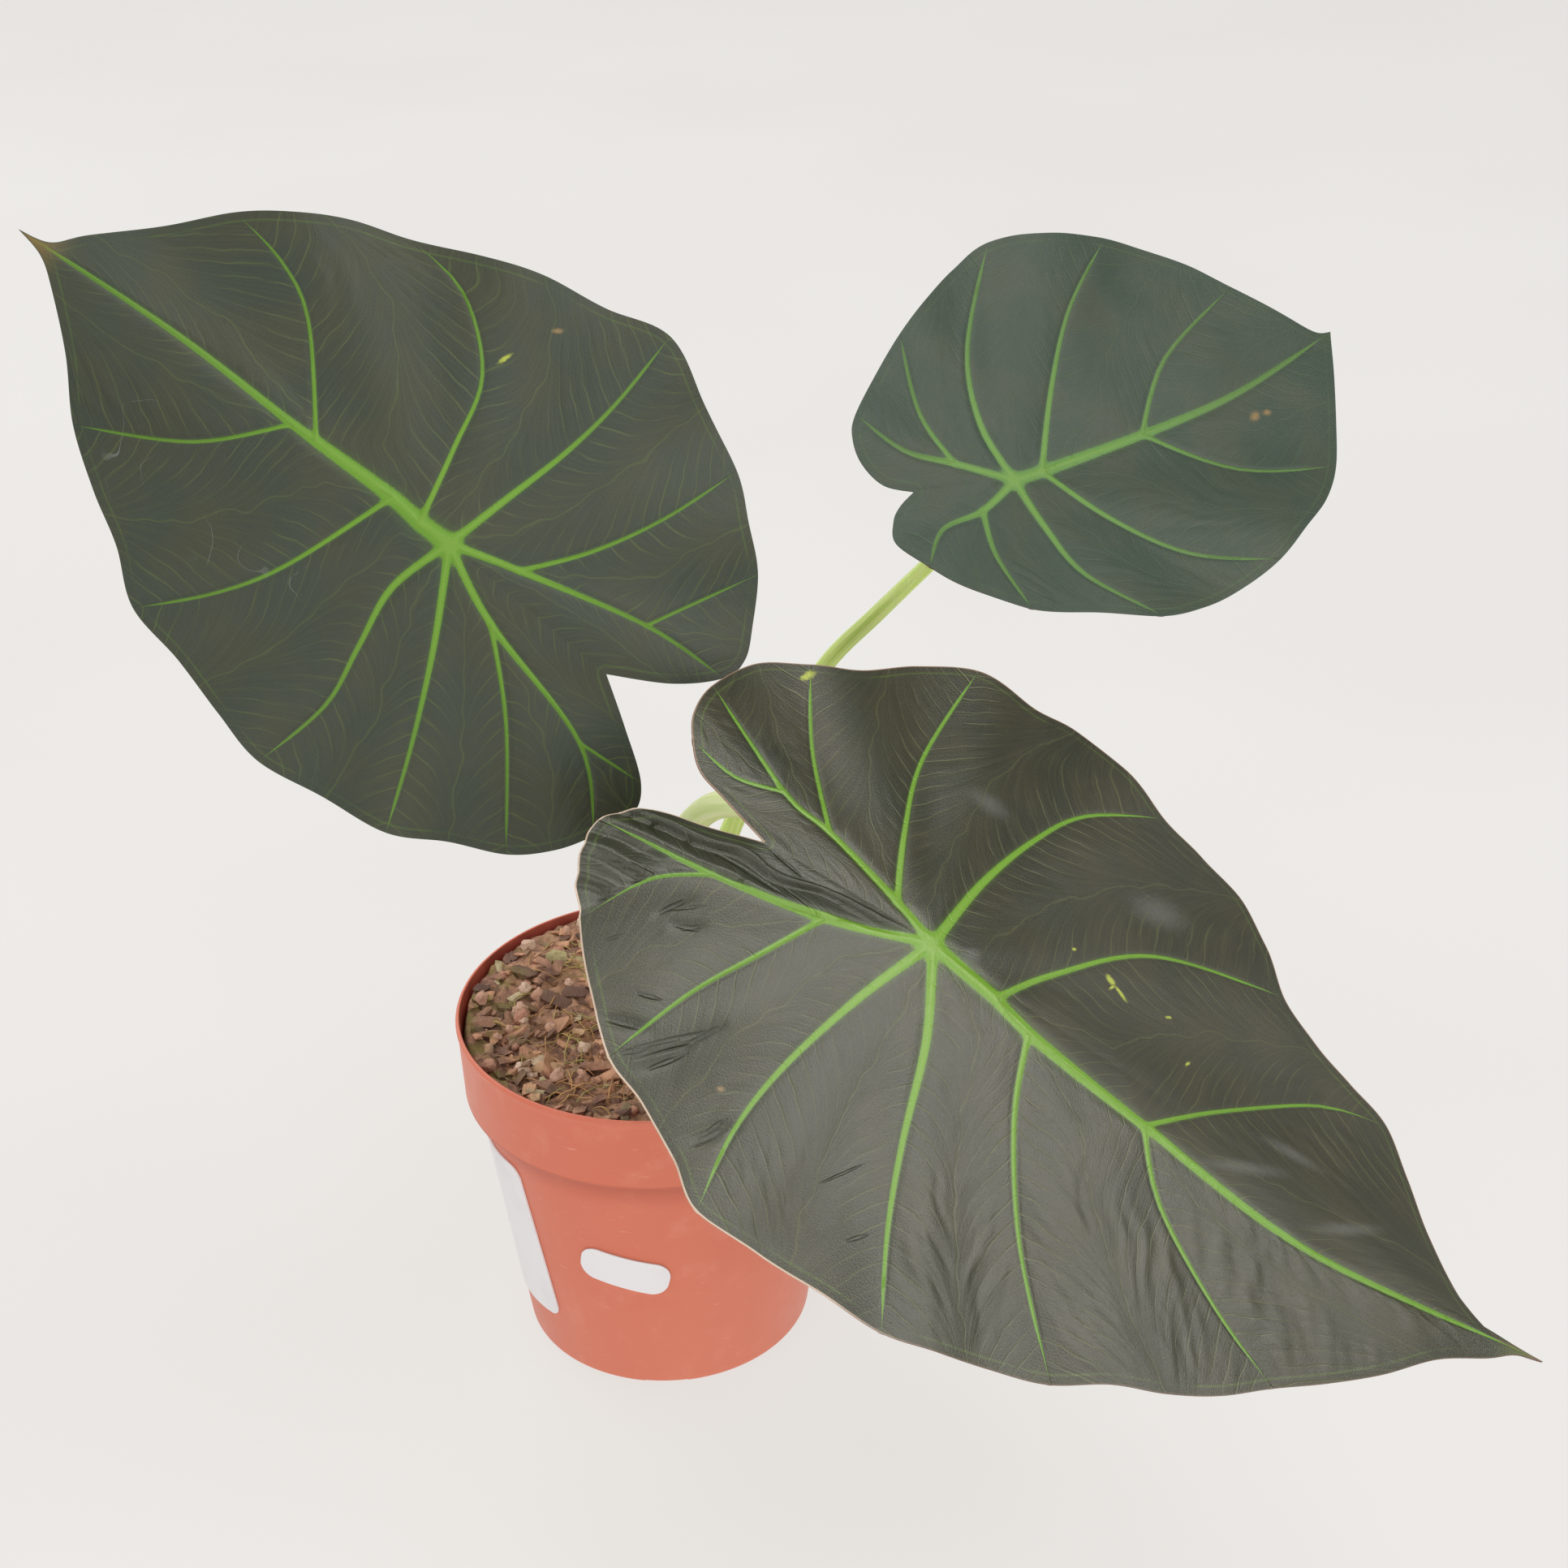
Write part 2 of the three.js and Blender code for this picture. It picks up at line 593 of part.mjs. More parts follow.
// A blank sticker: a rounded sheet of rings wrapped on the pot's tapered body.
function labelGeometry({ angle, height, size, tilt, corner }) {
  const outline = roundedOutline(size, corner, LABEL_POINTS);
  const centre = new THREE.Vector2();
  const sheet = [centre.clone()];
  for (let ring = 1; ring <= LABEL_RINGS; ring += 1) {
    outline.forEach((point) => sheet.push(point.clone().multiplyScalar(ring / LABEL_RINGS)));
  }
  sheet.forEach((point) => point.rotateAround(centre, THREE.MathUtils.degToRad(tilt)));
  const indexOf = (ring, step) => (ring === 0 ? 0 : 1 + (ring - 1) * LABEL_POINTS + (step % LABEL_POINTS));
  const upper = [];
  for (let ring = 0; ring < LABEL_RINGS; ring += 1) {
    for (let step = 0; step < LABEL_POINTS; step += 1) {
      upper.push([indexOf(ring, step), indexOf(ring + 1, step), indexOf(ring + 1, step + 1)]);
      if (ring > 0) upper.push([indexOf(ring, step), indexOf(ring + 1, step + 1), indexOf(ring, step + 1)]);
    }
  }
  const positions = [];
  [GAP + LABEL_THICKNESS, GAP].forEach((lift) => {
    sheet.forEach(({ x, y }) => {
      const z = height + y;
      const radius = bodyRadius(z) + lift;
      const turn = THREE.MathUtils.degToRad(angle) + x / bodyRadius(height);
      positions.push(radius * Math.sin(turn), -radius * Math.cos(turn), z);
    });
  });
  return meshGeometry(positions, closedSheet(upper, sheet.length));
}

const plant = new THREE.Group();

function addPiece(name, geometry, slot) {
  const mesh = new THREE.Mesh(geometry, finish(slot));
  mesh.name = name;
  plant.add(mesh);
}

addPiece('pot', potGeometry(), 'pot');
addPiece('soil', soilGeometry(), 'soil');
LABELS.forEach((label) => addPiece(label.name, labelGeometry(label), 'label'));
LEAVES.forEach((leaf) => {
  addPiece(`stalk_${leaf.name}`, stalkGeometry(leaf), 'stalk');
  addPiece(`blade_${leaf.name}`, bladeGeometry(leaf), 'blade');
});

export default plant;
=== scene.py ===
# %% [markdown]
# # A potted alocasia
# This lesson builds a young alocasia that grows in a nursery pot: three shield-shaped leaves on
# arching stalks, a bed of bark and coconut chips, and two blank stickers on the pot.
# The solid model that the looks are built around is loaded first. Its box is kept.

# %% Load the solid model
import math

import bmesh
import bpy
import numpy as np
from mathutils import Matrix, Vector, noise


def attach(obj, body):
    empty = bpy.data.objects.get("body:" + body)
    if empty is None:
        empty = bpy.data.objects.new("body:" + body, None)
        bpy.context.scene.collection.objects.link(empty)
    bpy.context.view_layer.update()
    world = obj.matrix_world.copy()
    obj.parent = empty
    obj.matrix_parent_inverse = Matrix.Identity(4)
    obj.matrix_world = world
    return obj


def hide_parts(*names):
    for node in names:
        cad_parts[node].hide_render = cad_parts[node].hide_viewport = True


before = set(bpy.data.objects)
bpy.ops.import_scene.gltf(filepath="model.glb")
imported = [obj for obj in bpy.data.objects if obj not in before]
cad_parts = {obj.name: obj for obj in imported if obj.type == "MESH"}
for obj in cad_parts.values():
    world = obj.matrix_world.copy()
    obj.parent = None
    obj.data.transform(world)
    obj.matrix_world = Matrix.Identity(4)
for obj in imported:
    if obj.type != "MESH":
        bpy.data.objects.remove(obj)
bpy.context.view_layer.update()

MM = 0.001
BODY = "root"

# %% [markdown]
# ## The camera
# The plant was photographed from close by, a little from above, so the near leaf looks large
# and the pot narrows towards its base. A long lens from far away would lose that, so the camera
# stands less than a metre from the plant. Its lens is worked out from the pinhole distance that
# fits the pot's rim, collar and base, counted in pixels of the square picture.

# %% Place the camera
PICTURE_PIXELS = 1932
PINHOLE_PIXELS = 3300
SENSOR_MM = 36
CAMERA_PLACE = Vector((0.0392, -0.6651, 0.5564))
CAMERA_DOWN = math.radians(29.25)
CAMERA_ROLL = math.radians(-1.10)


def add_camera():
    lens = bpy.data.cameras.new("camera")
    lens.sensor_width = SENSOR_MM
    lens.lens = PINHOLE_PIXELS / PICTURE_PIXELS * SENSOR_MM
    camera = bpy.data.objects.new("camera", lens)
    bpy.context.scene.collection.objects.link(camera)
    aim = Matrix.Rotation(math.pi / 2 - CAMERA_DOWN, 4, "X") @ Matrix.Rotation(CAMERA_ROLL, 4, "Z")
    camera.matrix_world = Matrix.Translation(CAMERA_PLACE) @ aim
    bpy.context.scene.camera = camera
    return camera


camera = add_camera()
print("lens in mm:", round(camera.data.lens, 1))

# %% [markdown]
# ## A small kit for finishes
# Every finish here is a recipe of nodes. Writing each node and link by hand hides the recipe in
# bookkeeping, so a small kit adds nodes and links them, and each finish then reads as a list of
# what is mixed with what. Lengths in the recipes are millimetres wherever a piece carries its
# own measures, and metres where a recipe reads the place of a point.

# %% Make the finish kit
class FinishKit:
    """One material, with short ways to add nodes to it."""

    def __init__(self, name):
        self.material = bpy.data.materials.new(name)
        self.material.use_nodes = True
        self.tree = self.material.node_tree
        self.shader = self.tree.nodes["Principled BSDF"]

    def feed(self, socket, value):
        if isinstance(value, bpy.types.NodeSocket):
            self.tree.links.new(value, socket)
        else:
            socket.default_value = value

    def add(self, kind, inputs, output=0, **settings):
        node = self.tree.nodes.new(kind)
        for key, value in settings.items():
            setattr(node, key, value)
        for key, value in inputs.items():
            self.feed(node.inputs[key], value)
        return node.outputs[output]

    def set(self, **values):
        for key, value in values.items():
            self.feed(self.shader.inputs[key.replace("_", " ")], value)

    def calc(self, operation, *values):
        return self.add("ShaderNodeMath", dict(enumerate(values)), operation=operation)

    def times(self, first, second):
        return self.calc("MULTIPLY", first, second)

    def plus(self, first, second):
        return self.calc("ADD", first, second)

    def swing(self, share, reach):
        """A share from 0 to 1, turned into a number from -reach to reach."""
        return self.calc("MULTIPLY_ADD", share, 2 * reach, -reach)

    def gauge(self, operation, *vectors):
        """One number from vectors, such as a length or a distance."""
        inputs = dict(enumerate(vectors))
        return self.add("ShaderNodeVectorMath", inputs, output="Value", operation=operation)

    def number(self, name):
        return self.add("ShaderNodeAttribute", {}, output="Fac", attribute_name=name)

    def place(self, name):
        return self.add("ShaderNodeAttribute", {}, output="Vector", attribute_name=name)

    def spot(self):
        return self.add("ShaderNodeNewGeometry", {}, output="Position")

    def part(self, vector, axis):
        return self.add("ShaderNodeSeparateXYZ", {0: vector}, output=axis)

    def join(self, x, y):
        return self.add("ShaderNodeCombineXYZ", {0: x, 1: y})

    def stretch(self, vector, factors):
        return self.add("ShaderNodeVectorMath", {0: vector, 1: factors}, operation="MULTIPLY")

    def cloud(self, vector, scale, detail=2.0, roughness=0.5):
        inputs = {"Vector": vector, "Scale": scale, "Detail": detail, "Roughness": roughness}
        return self.add("ShaderNodeTexNoise", inputs)

    def cells(self, vector, scale):
        return self.add("ShaderNodeTexVoronoi", {"Vector": vector, "Scale": scale}, feature="F1")

    def rise(self, value, start, end, low=0.0, high=1.0):
        inputs = {"Value": value, "From Min": start, "From Max": end, "To Min": low, "To Max": high}
        return self.add("ShaderNodeMapRange", inputs, interpolation_type="SMOOTHSTEP")

    def blend(self, factor, first, second):
        node = self.tree.nodes.new("ShaderNodeMix")
        node.data_type = "RGBA"
        for index, value in ((0, factor), (6, first), (7, second)):
            self.feed(node.inputs[index], value)
        return node.outputs[2]

    def ramp(self, value, stops):
        node = self.tree.nodes.new("ShaderNodeValToRGB")
        self.feed(node.inputs[0], value)
        elements = node.color_ramp.elements
        while len(elements) < len(stops):
            elements.new(1.0)
        for element, (place, colour) in zip(elements, stops):
            element.position = place
            element.color = colour
        return node.outputs[0]

    def bump(self, height, distance, strength=1.0):
        inputs = {"Height": height, "Distance": distance, "Strength": strength}
        self.set(Normal=self.add("ShaderNodeBump", inputs))


def screen_colour(red, green, blue):
    """A colour given as it looks on screen, 0 to 255, turned into the light it stands for."""
    channels = [value / 255 for value in (red, green, blue)]
    linear = [c / 12.92 if c <= 0.04045 else ((c + 0.055) / 1.055) ** 2.4 for c in channels]
    return (*linear, 1.0)


print("half of the screen's white is this share of its light:", round(screen_colour(128, 128, 128)[0], 3))

# %% [markdown]
# ## Floor and light
# The plant stands in a bright, almost shadowless place. A pale floor fills the picture. A plain
# white floor would carry dark shadows under the leaves, so this one glows, as a light table does,
# and also lights the pot from below. Its glow is even round the plant and weaker far away, or the
# leaves would mirror a bright horizon. One long softbox to the right gives the near leaf its grey
# gloss: that leaf's left half mirrors it and its right half just misses it. A low one in front
# does the same for the left leaf's lobes. The others fill the pot from the left, and the soil and
# stalks from behind, where no leaf's upper face sees them. Lamps without size would give hard
# shadows, so only large area lamps are used.

# %% Add the floor and the lamps
FLOOR_HALF = 6.0
FLOOR_COLOUR = screen_colour(92, 91, 90)
FLOOR_MOTTLE = screen_colour(99, 99, 98)
FLOOR_GLOW_COLOUR = screen_colour(255, 252, 248)
FLOOR_GLOW = 0.705
GLOW_ENDS = (2.4, 4.4)  # metres from the pot, where the glow starts to fade and where it is at its least
FAR_GLOW = 0.32
SKY_COLOUR = screen_colour(250, 250, 247)
SKY_STRENGTH = 0.27
AIM_POINT = Vector((0.08, -0.08, 0.2))
SOFTBOXES = [
    # name, direction from the plant, distance, width and height, power in watts
    ("softbox_right", (0.514, -0.278, 0.812), 1.75, (1.0, 2.4), 27.5),
    ("softbox_front", (0.15, -0.97, 0.2), 2.0, (2.2, 0.7), 14.5),
    ("softbox_left", (-0.58, -0.55, 0.6), 2.0, (1.5, 1.5), 8.0),
    ("softbox_back", (-0.55, 0.5, 0.67), 2.0, (1.8, 1.8), 24.0),
]


def add_floor():
    h = FLOOR_HALF
    mesh = bpy.data.meshes.new("floor")
    mesh.from_pydata([(-h, -h, 0), (h, -h, 0), (h, h, 0), (-h, h, 0)], [], [(0, 1, 2, 3)])
    kit = FinishKit("floor_paper")
    grain = kit.cloud(kit.spot(), 3.0)
    kit.set(Base_Color=kit.blend(kit.rise(grain, 0.3, 0.7), FLOOR_COLOUR, FLOOR_MOTTLE))
    kit.set(Roughness=0.9, Specular_IOR_Level=0.1)
    glow = kit.rise(kit.gauge("LENGTH", kit.spot()), *GLOW_ENDS, FLOOR_GLOW, FAR_GLOW)
    kit.set(Emission_Color=FLOOR_GLOW_COLOUR, Emission_Strength=glow)
    mesh.materials.append(kit.material)
    floor = bpy.data.objects.new("floor", mesh)
    bpy.context.scene.collection.objects.link(floor)


def add_softbox(name, direction, distance, size, power):
    lamp = bpy.data.lights.new(name, "AREA")
    lamp.shape = "RECTANGLE"
    lamp.size, lamp.size_y = size
    lamp.energy = power
    softbox = bpy.data.objects.new(name, lamp)
    bpy.context.scene.collection.objects.link(softbox)
    away = Vector(direction).normalized()
    softbox.location = AIM_POINT + away * distance
    softbox.rotation_mode = "QUATERNION"
    softbox.rotation_quaternion = away.to_track_quat("Z", "Y")


def light_sky():
    world = bpy.data.worlds.new("sky")
    world.use_nodes = True
    background = world.node_tree.nodes["Background"]
    background.inputs["Color"].default_value = SKY_COLOUR
    background.inputs["Strength"].default_value = SKY_STRENGTH
    bpy.context.scene.world = world


add_floor()
light_sky()
for softbox in SOFTBOXES:
    add_softbox(*softbox)
bpy.context.scene.view_settings.view_transform = "Standard"
print("softboxes:", len(SOFTBOXES))

# %% [markdown]
# ## Meshes from millimetres
# The plant's sizes are easiest to read in millimetres, and the scene is in metres. One helper
# turns a list of points and faces into a smooth-shaded piece at the right scale, and ties it to
# the solid that it stands for. A piece that adds detail on top of a solid replaces none.

# %% Make the piece helper
SHARP_ANGLE = math.radians(40)


def add_piece(name, points, faces, finishes, node=None, face_finish=None, sharp=SHARP_ANGLE):
    mesh = bpy.data.meshes.new(name)
    corners = [list(map(int, face)) for face in faces]
    mesh.from_pydata((np.asarray(points) * MM).tolist(), [], corners)
    for finish in finishes:
        mesh.materials.append(finish)
    if face_finish is not None:
        mesh.polygons.foreach_set("material_index", np.asarray(face_finish, dtype=np.int32))
    mesh.polygons.foreach_set("use_smooth", np.ones(len(mesh.polygons), dtype=bool))
    mesh.set_sharp_from_angle(angle=sharp)
    mesh.update()
    piece = bpy.data.objects.new(name, mesh)
    bpy.context.scene.collection.objects.link(piece)
    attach(piece, BODY)
    if node:
        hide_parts(node)
    print(name, len(mesh.vertices), "points,", len(mesh.polygons), "faces")
    return piece


def add_measure(piece, name, values):
    """Keeps one number, or one vector, for each point of a piece, for its finish to read."""
    values = np.asarray(values, dtype=np.float32)
    kind, field = ("FLOAT_VECTOR", "vector") if values.ndim == 2 else ("FLOAT", "value")
    measure = piece.data.attributes.new(name, kind, "POINT")
    measure.data.foreach_set(field, values.ravel())


print("edges stay sharp from", round(math.degrees(SHARP_ANGLE)), "degrees")

# %% [markdown]
# ## The pot
# The pot is a moulded 12 cm nursery pot: a thin tapered wall, a straight collar that stands out
# over it, and a small lip at the rim. Because it is round, it is a profile turned about its axis.
# The solid model has 48 flat sides, which would show as corners against the pale floor, so here
# the profile has rounded corners and is turned in many small steps.

# %% Turn the pot
POT = dict(height=110, rim=60, collar_height=25, collar=58.6, body_top=54.4, base=43.8)
WALL = 1.4
BASE_THICKNESS = 2.4
LIP = 1.2
STEP = 2.2
FOOT = 1.6
EDGE = 0.6
POT_SIDES = 192
CORNER_STEPS = 4
CORNER_LIMIT = 0.45  # the largest share of a straight stretch that one round corner may take


def lerp(start, end, share):
    return start + (end - start) * share


def rounded_profile(points, radius):
    """The profile with each corner replaced by a short curve."""
    points = np.asarray(points, float)
    smooth = [points[0]]
    for before, corner, after in zip(points, points[1:], points[2:]):
        back, ahead = before - corner, after - corner
        cut = min(radius, CORNER_LIMIT * np.linalg.norm(back), CORNER_LIMIT * np.linalg.norm(ahead))
        start = corner + back / np.linalg.norm(back) * cut
        end = corner + ahead / np.linalg.norm(ahead) * cut
        for share in np.linspace(0, 1, CORNER_STEPS):
            smooth.append(lerp(lerp(start, corner, share), lerp(corner, end, share), share))
    smooth.append(points[-1])
    return np.array(smooth)


def closed_rings(rings, low_end, high_end):
    """Rings of points joined into one closed solid, with a point in the middle of each end."""
    points = np.vstack(rings + [[low_end], [high_end]])
    low, high = len(points) - 2, len(points) - 1
    sides = len(rings[0])
    last = (len(rings) - 1) * sides
    faces = []
    for side in range(sides):
        beside = (side + 1) % sides
        faces.append((low, beside, side))
        faces.append((high, last + side, last + beside))
        for ring in range(0, last, sides):
            faces.append((ring + side, ring + beside, ring + sides + beside, ring + sides + side))
    return points, faces


def turned(profile, sides):
    """A closed solid turned from a profile that starts and ends on the axis."""
    angles = np.arange(sides) * 2 * math.pi / sides
    x, y = np.cos(angles), np.sin(angles)
    rings = [np.stack([radius * x, radius * y, np.full(sides, z)], 1) for radius, z in profile[1:-1]]
    return closed_rings(rings, (0, 0, profile[0][1]), (0, 0, profile[-1][1]))


def pot_profile():
    collar_bottom = POT["height"] - POT["collar_height"]
    inner_step = collar_bottom + STEP
    return [
        (0, 0),
        (POT["base"] - FOOT, 0),
        (POT["base"], FOOT),
        (POT["body_top"], collar_bottom - STEP),
        (POT["body_top"] + EDGE, collar_bottom),
        (POT["collar"] - EDGE, collar_bottom),
        (POT["collar"], collar_bottom + EDGE),
        (POT["rim"] - EDGE, POT["height"] - LIP * 2),
        (POT["rim"], POT["height"] - LIP),
        (POT["rim"] - EDGE, POT["height"]),
        (POT["rim"] - WALL, POT["height"]),
        (POT["collar"] - WALL, inner_step),
        (POT["body_top"] - WALL, inner_step - STEP),
        (POT["base"] - WALL, BASE_THICKNESS),
        (0, BASE_THICKNESS),
    ]


print("points in the pot's profile:", len(pot_profile()))

# %% [markdown]
# ## The pot's drains
# Water leaves the pot through slots and holes in its base. They break the round form, so the
# turned profile can't have them. They could be modelled face by face, but a Boolean cuts plain
# boxes and cylinders through the finished wall, and each shape stays easy to change.

# %% Make the drain cutters
DRAIN = dict(count=6, width=13, depth=1.6, inner=20, hole=4, hole_at=30)
DRAIN_SIDES = 32


def cutter(name, make_shape):
    """A shape repeated once for each drain, used to cut the pot and then removed."""
    shape = bmesh.new()
    for index in range(DRAIN["count"]):
        turn = Matrix.Rotation((index + 0.5) / DRAIN["count"] * 2 * math.pi, 4, "Z")
        make_shape(shape, turn)
    mesh = bpy.data.meshes.new(name)
    shape.to_mesh(mesh)
    shape.free()
    tool = bpy.data.objects.new(name, mesh)
    bpy.context.scene.collection.objects.link(tool)
    return tool


def slot_shape(shape, turn):
    length = POT["base"] + WALL - DRAIN["inner"]
    size = Matrix.Diagonal((length * MM, DRAIN["width"] * MM, DRAIN["depth"] * 2 * MM, 1))
    move = Matrix.Translation(((DRAIN["inner"] + length / 2) * MM, 0, 0))
    bmesh.ops.create_cube(shape, size=1, matrix=turn @ move @ size)


def hole_shape(shape, turn):
    move = Matrix.Translation((DRAIN["hole_at"] * MM, 0, 0))
    sizes = dict(radius1=DRAIN["hole"] * MM, radius2=DRAIN["hole"] * MM, depth=BASE_THICKNESS * 4 * MM)
    bmesh.ops.create_cone(shape, cap_ends=True, segments=DRAIN_SIDES, matrix=turn @ move, **sizes)


def cut(piece, tools):
    for tool in tools:
        modifier = piece.modifiers.new(tool.name, "BOOLEAN")
        modifier.operation = "DIFFERENCE"
        modifier.solver = "EXACT"
        modifier.object = tool
    bpy.context.view_layer.update()
    finished = piece.evaluated_get(bpy.context.evaluated_depsgraph_get())
    carved = bpy.data.meshes.new_from_object(finished)
    piece.modifiers.clear()
    piece.data = carved
    for tool in tools:
        bpy.data.objects.remove(tool)
    carved.set_sharp_from_angle(angle=SHARP_ANGLE)


print("drains to cut:", DRAIN["count"], "slots and", DRAIN["count"], "holes")

# %% [markdown]
# ## The pot's plastic
# The plastic is brick-red and satin, a little paler where hands and shelves rubbed it. Painted
# shade darkens a band just under its collar, and the inside wall, where the leaves shade it. The
# two sides could be two materials, but one recipe can tell them apart: it looks whether a face
# points away from the axis.

# %% Mix the plastic and build the pot
PLASTIC = dict(
    plain=screen_colour(218, 117, 90),
    sunned=screen_colour(223, 125, 98),
    dust=screen_colour(240, 166, 142),
    scuff=screen_colour(246, 194, 174),
    shade=screen_colour(160, 72, 54),
    inner_shade=screen_colour(170, 82, 64),
    deep_inner_shade=screen_colour(142, 62, 50),
)


def pot_finish():
    """Terracotta-coloured plastic: satin, paler where rubbed, painted shade inside and under the collar."""
    kit = FinishKit("pot_plastic")
    spot = kit.spot()
    mottle = kit.cloud(spot, 90.0, 4.0, 0.6)
    drift = kit.cloud(spot, 14.0, 2.0)
    plain = kit.blend(kit.rise(drift, 0.3, 0.7), PLASTIC["plain"], PLASTIC["sunned"])
    dusty = kit.blend(kit.rise(mottle, 0.5, 0.8, 0.0, 0.25), plain, PLASTIC["dust"])
    scuffs = kit.cloud(kit.stretch(spot, (1.0, 1.0, 6.0)), 160.0, 3.0)
    scuffed = kit.blend(kit.rise(scuffs, 0.66, 0.78, 0.0, 0.3), dusty, PLASTIC["scuff"])
    facing = kit.add("ShaderNodeNewGeometry", {}, output="Normal")
    outward = kit.stretch(spot, (1.0, 1.0, 0.0))
    inner = kit.gauge("DOT_PRODUCT", facing, outward)
    # painted shade: the inside wall is darkened, as the leaves shade it
    stained = kit.blend(kit.rise(mottle, 0.3, 0.7), PLASTIC["inner_shade"], PLASTIC["deep_inner_shade"])
    # painted shade: a dark band just under the collar, where the collar shades the body
    below = kit.calc("SUBTRACT", (POT["height"] - POT["collar_height"]) * MM, kit.part(spot, "Z"))
    under_collar = kit.rise(below, -0.002, -0.0005)
    collar_shade_band = kit.times(kit.rise(below, 0.0, 0.012, 0.5, 0.0), under_collar)
    shaded = kit.blend(collar_shade_band, scuffed, PLASTIC["shade"])
    walls = kit.blend(kit.rise(inner, -0.04, -0.01, 1.0, 0.0), shaded, stained)
    kit.set(Base_Color=walls)
    kit.set(Roughness=kit.rise(mottle, 0.2, 0.8, 0.36, 0.5), Specular_IOR_Level=0.45)
    kit.set(Subsurface_Weight=0.06, Subsurface_Radius=(0.004, 0.0015, 0.001), Subsurface_Scale=1.0)
    kit.bump(kit.cloud(spot, 900.0, 2.0), 0.00008, 0.35)
    return kit.material


def build_pot():
    points, faces = turned(rounded_profile(pot_profile(), EDGE), POT_SIDES)
    pot = add_piece("nursery_pot", points, faces, [pot_finish()], "pot")
    cut(pot, [cutter("slots", slot_shape), cutter("holes", hole_shape)])
    print("pot after its drains are cut:", len(pot.data.polygons), "faces")


build_pot()

# %% [markdown]
# ## The soil
# The pot is filled almost to its rim with a loose mix, heaped a little at its back left side.
# The bed could be a flat disc with a bumpy finish, but from above the eye looks for depth, so
# its top is really uneven: two crossing waves, as in the solid, with the heap and fine noise on
# them. Bark chips, coconut fibres and grains of perlite are scattered on it afterwards as pieces
# of their own. Thin moss tints whatever lies near the damp left wall.

# %% Lay the bed of soil
SOIL_TOP = POT["height"] - 5
HEAP_HEIGHT = 2.9
HEAP_FROM, HEAP_TO = 26, 53
HEAP_SIDE = (-0.82, 0.57)
WAVE_SHARE = 0.6
SOIL_CLEAR = WALL + 0.4
SOIL_GAP = 0.3  # between the bed and the pot's steps
SOIL_RINGS = 56
SOIL_SIDES = 176
SOIL_FLOOR = BASE_THICKNESS + SOIL_GAP
LUMP = dict(height=1.5, along_x=0.83, along_y=0.71, swirl=1.6, pitch=0.4)
CRUMB_HEIGHT = 0.9
CRUMB_SIZE = 2.6
SOIL_RADIUS = POT["collar"] - SOIL_CLEAR
SOIL_TOP_RADIUS = SOIL_RADIUS + 0.9
MOSS = screen_colour(128, 122, 62)


def smooth_rise(value, start, end):
    share = np.clip((value - start) / (end - start), 0, 1)
    return share * share * (3 - 2 * share)


def soil_height(x, y):
    first = math.sin(LUMP["along_x"] * x + LUMP["swirl"] * math.sin(LUMP["pitch"] * y))
    second = math.cos(LUMP["along_y"] * y - LUMP["swirl"] * math.sin(LUMP["pitch"] * x))
    crumb = noise.noise(Vector((x, y, 0)) / CRUMB_SIZE) * CRUMB_HEIGHT
    heap = HEAP_HEIGHT * float(smooth_rise(HEAP_SIDE[0] * x + HEAP_SIDE[1] * y, HEAP_FROM, HEAP_TO))
    return SOIL_TOP + WAVE_SHARE * LUMP["height"] * first * second + crumb + heap


def mossy(kit, spot, own):
    """Thin moss and algae on the damp side of the bed, beside the pot's wall."""
    side = kit.rise(kit.part(spot, "X"), -0.052, -0.03, 0.75, 0.12)
    patches = kit.rise(kit.cloud(spot, 150.0, 3.0, 0.6), 0.46, 0.62)
    return kit.blend(kit.times(side, patches), own, MOSS)


def soil_finish():
    """Damp bark and coconut: patches of dark and red-brown, crumbly at every scale."""
    kit = FinishKit("soil_crumbs")
    spot = kit.spot()
    grains = kit.cloud(spot, 520.0, 5.0, 0.7)
    patches = kit.cloud(spot, 110.0, 3.0)
    stops = [
        (0.33, screen_colour(80, 60, 52)),
        (0.44, screen_colour(146, 108, 90)),
        (0.58, screen_colour(196, 150, 120)),
        (0.72, screen_colour(216, 184, 154)),
    ]
    mixed = kit.ramp(kit.plus(kit.times(grains, 0.6), kit.times(patches, 0.4)), stops)
    kit.set(Base_Color=mossy(kit, spot, mixed))
    kit.set(Roughness=kit.rise(grains, 0.3, 0.7, 0.75, 0.95), Specular_IOR_Level=0.25)
    kit.bump(grains, 0.0009, 0.8)
    return kit.material


def build_soil():
    collar_bottom = POT["height"] - POT["collar_height"]
    profile = [
        (0, SOIL_FLOOR),
        (POT["base"] - SOIL_CLEAR - 0.4, SOIL_FLOOR),
        (POT["body_top"] - SOIL_CLEAR, collar_bottom + SOIL_GAP),
        (SOIL_RADIUS, collar_bottom + STEP + SOIL_GAP),
        (SOIL_TOP_RADIUS, SOIL_TOP - LUMP["height"]),
    ]
    shares = [1 - ring / SOIL_RINGS for ring in range(1, SOIL_RINGS + 1)]
    profile += [(SOIL_TOP_RADIUS * share, SOIL_TOP) for share in shares]
    points, faces = turned(profile, SOIL_SIDES)
    top = points[:, 2] > SOIL_TOP - 0.01
    points[top, 2] = [soil_height(x, y) for x, y, _ in points[top]]
    add_piece("soil_bed", points, faces, [soil_finish()], "soil", sharp=math.pi)


build_soil()

# %% [markdown]
# ## Shapes for chips and grains
# The mix is full of loose bits: angular flakes of bark that lie nearly flat, and pale round
# grains of perlite. Carving each one would take a day, and one shape repeated would show. So a
# few shapes are drawn at random from a seed: a flake is the hull round some corners, and a grain
# is a ball pushed in and out by noise. A hull has the flat faces and sharp edges of broken bark.

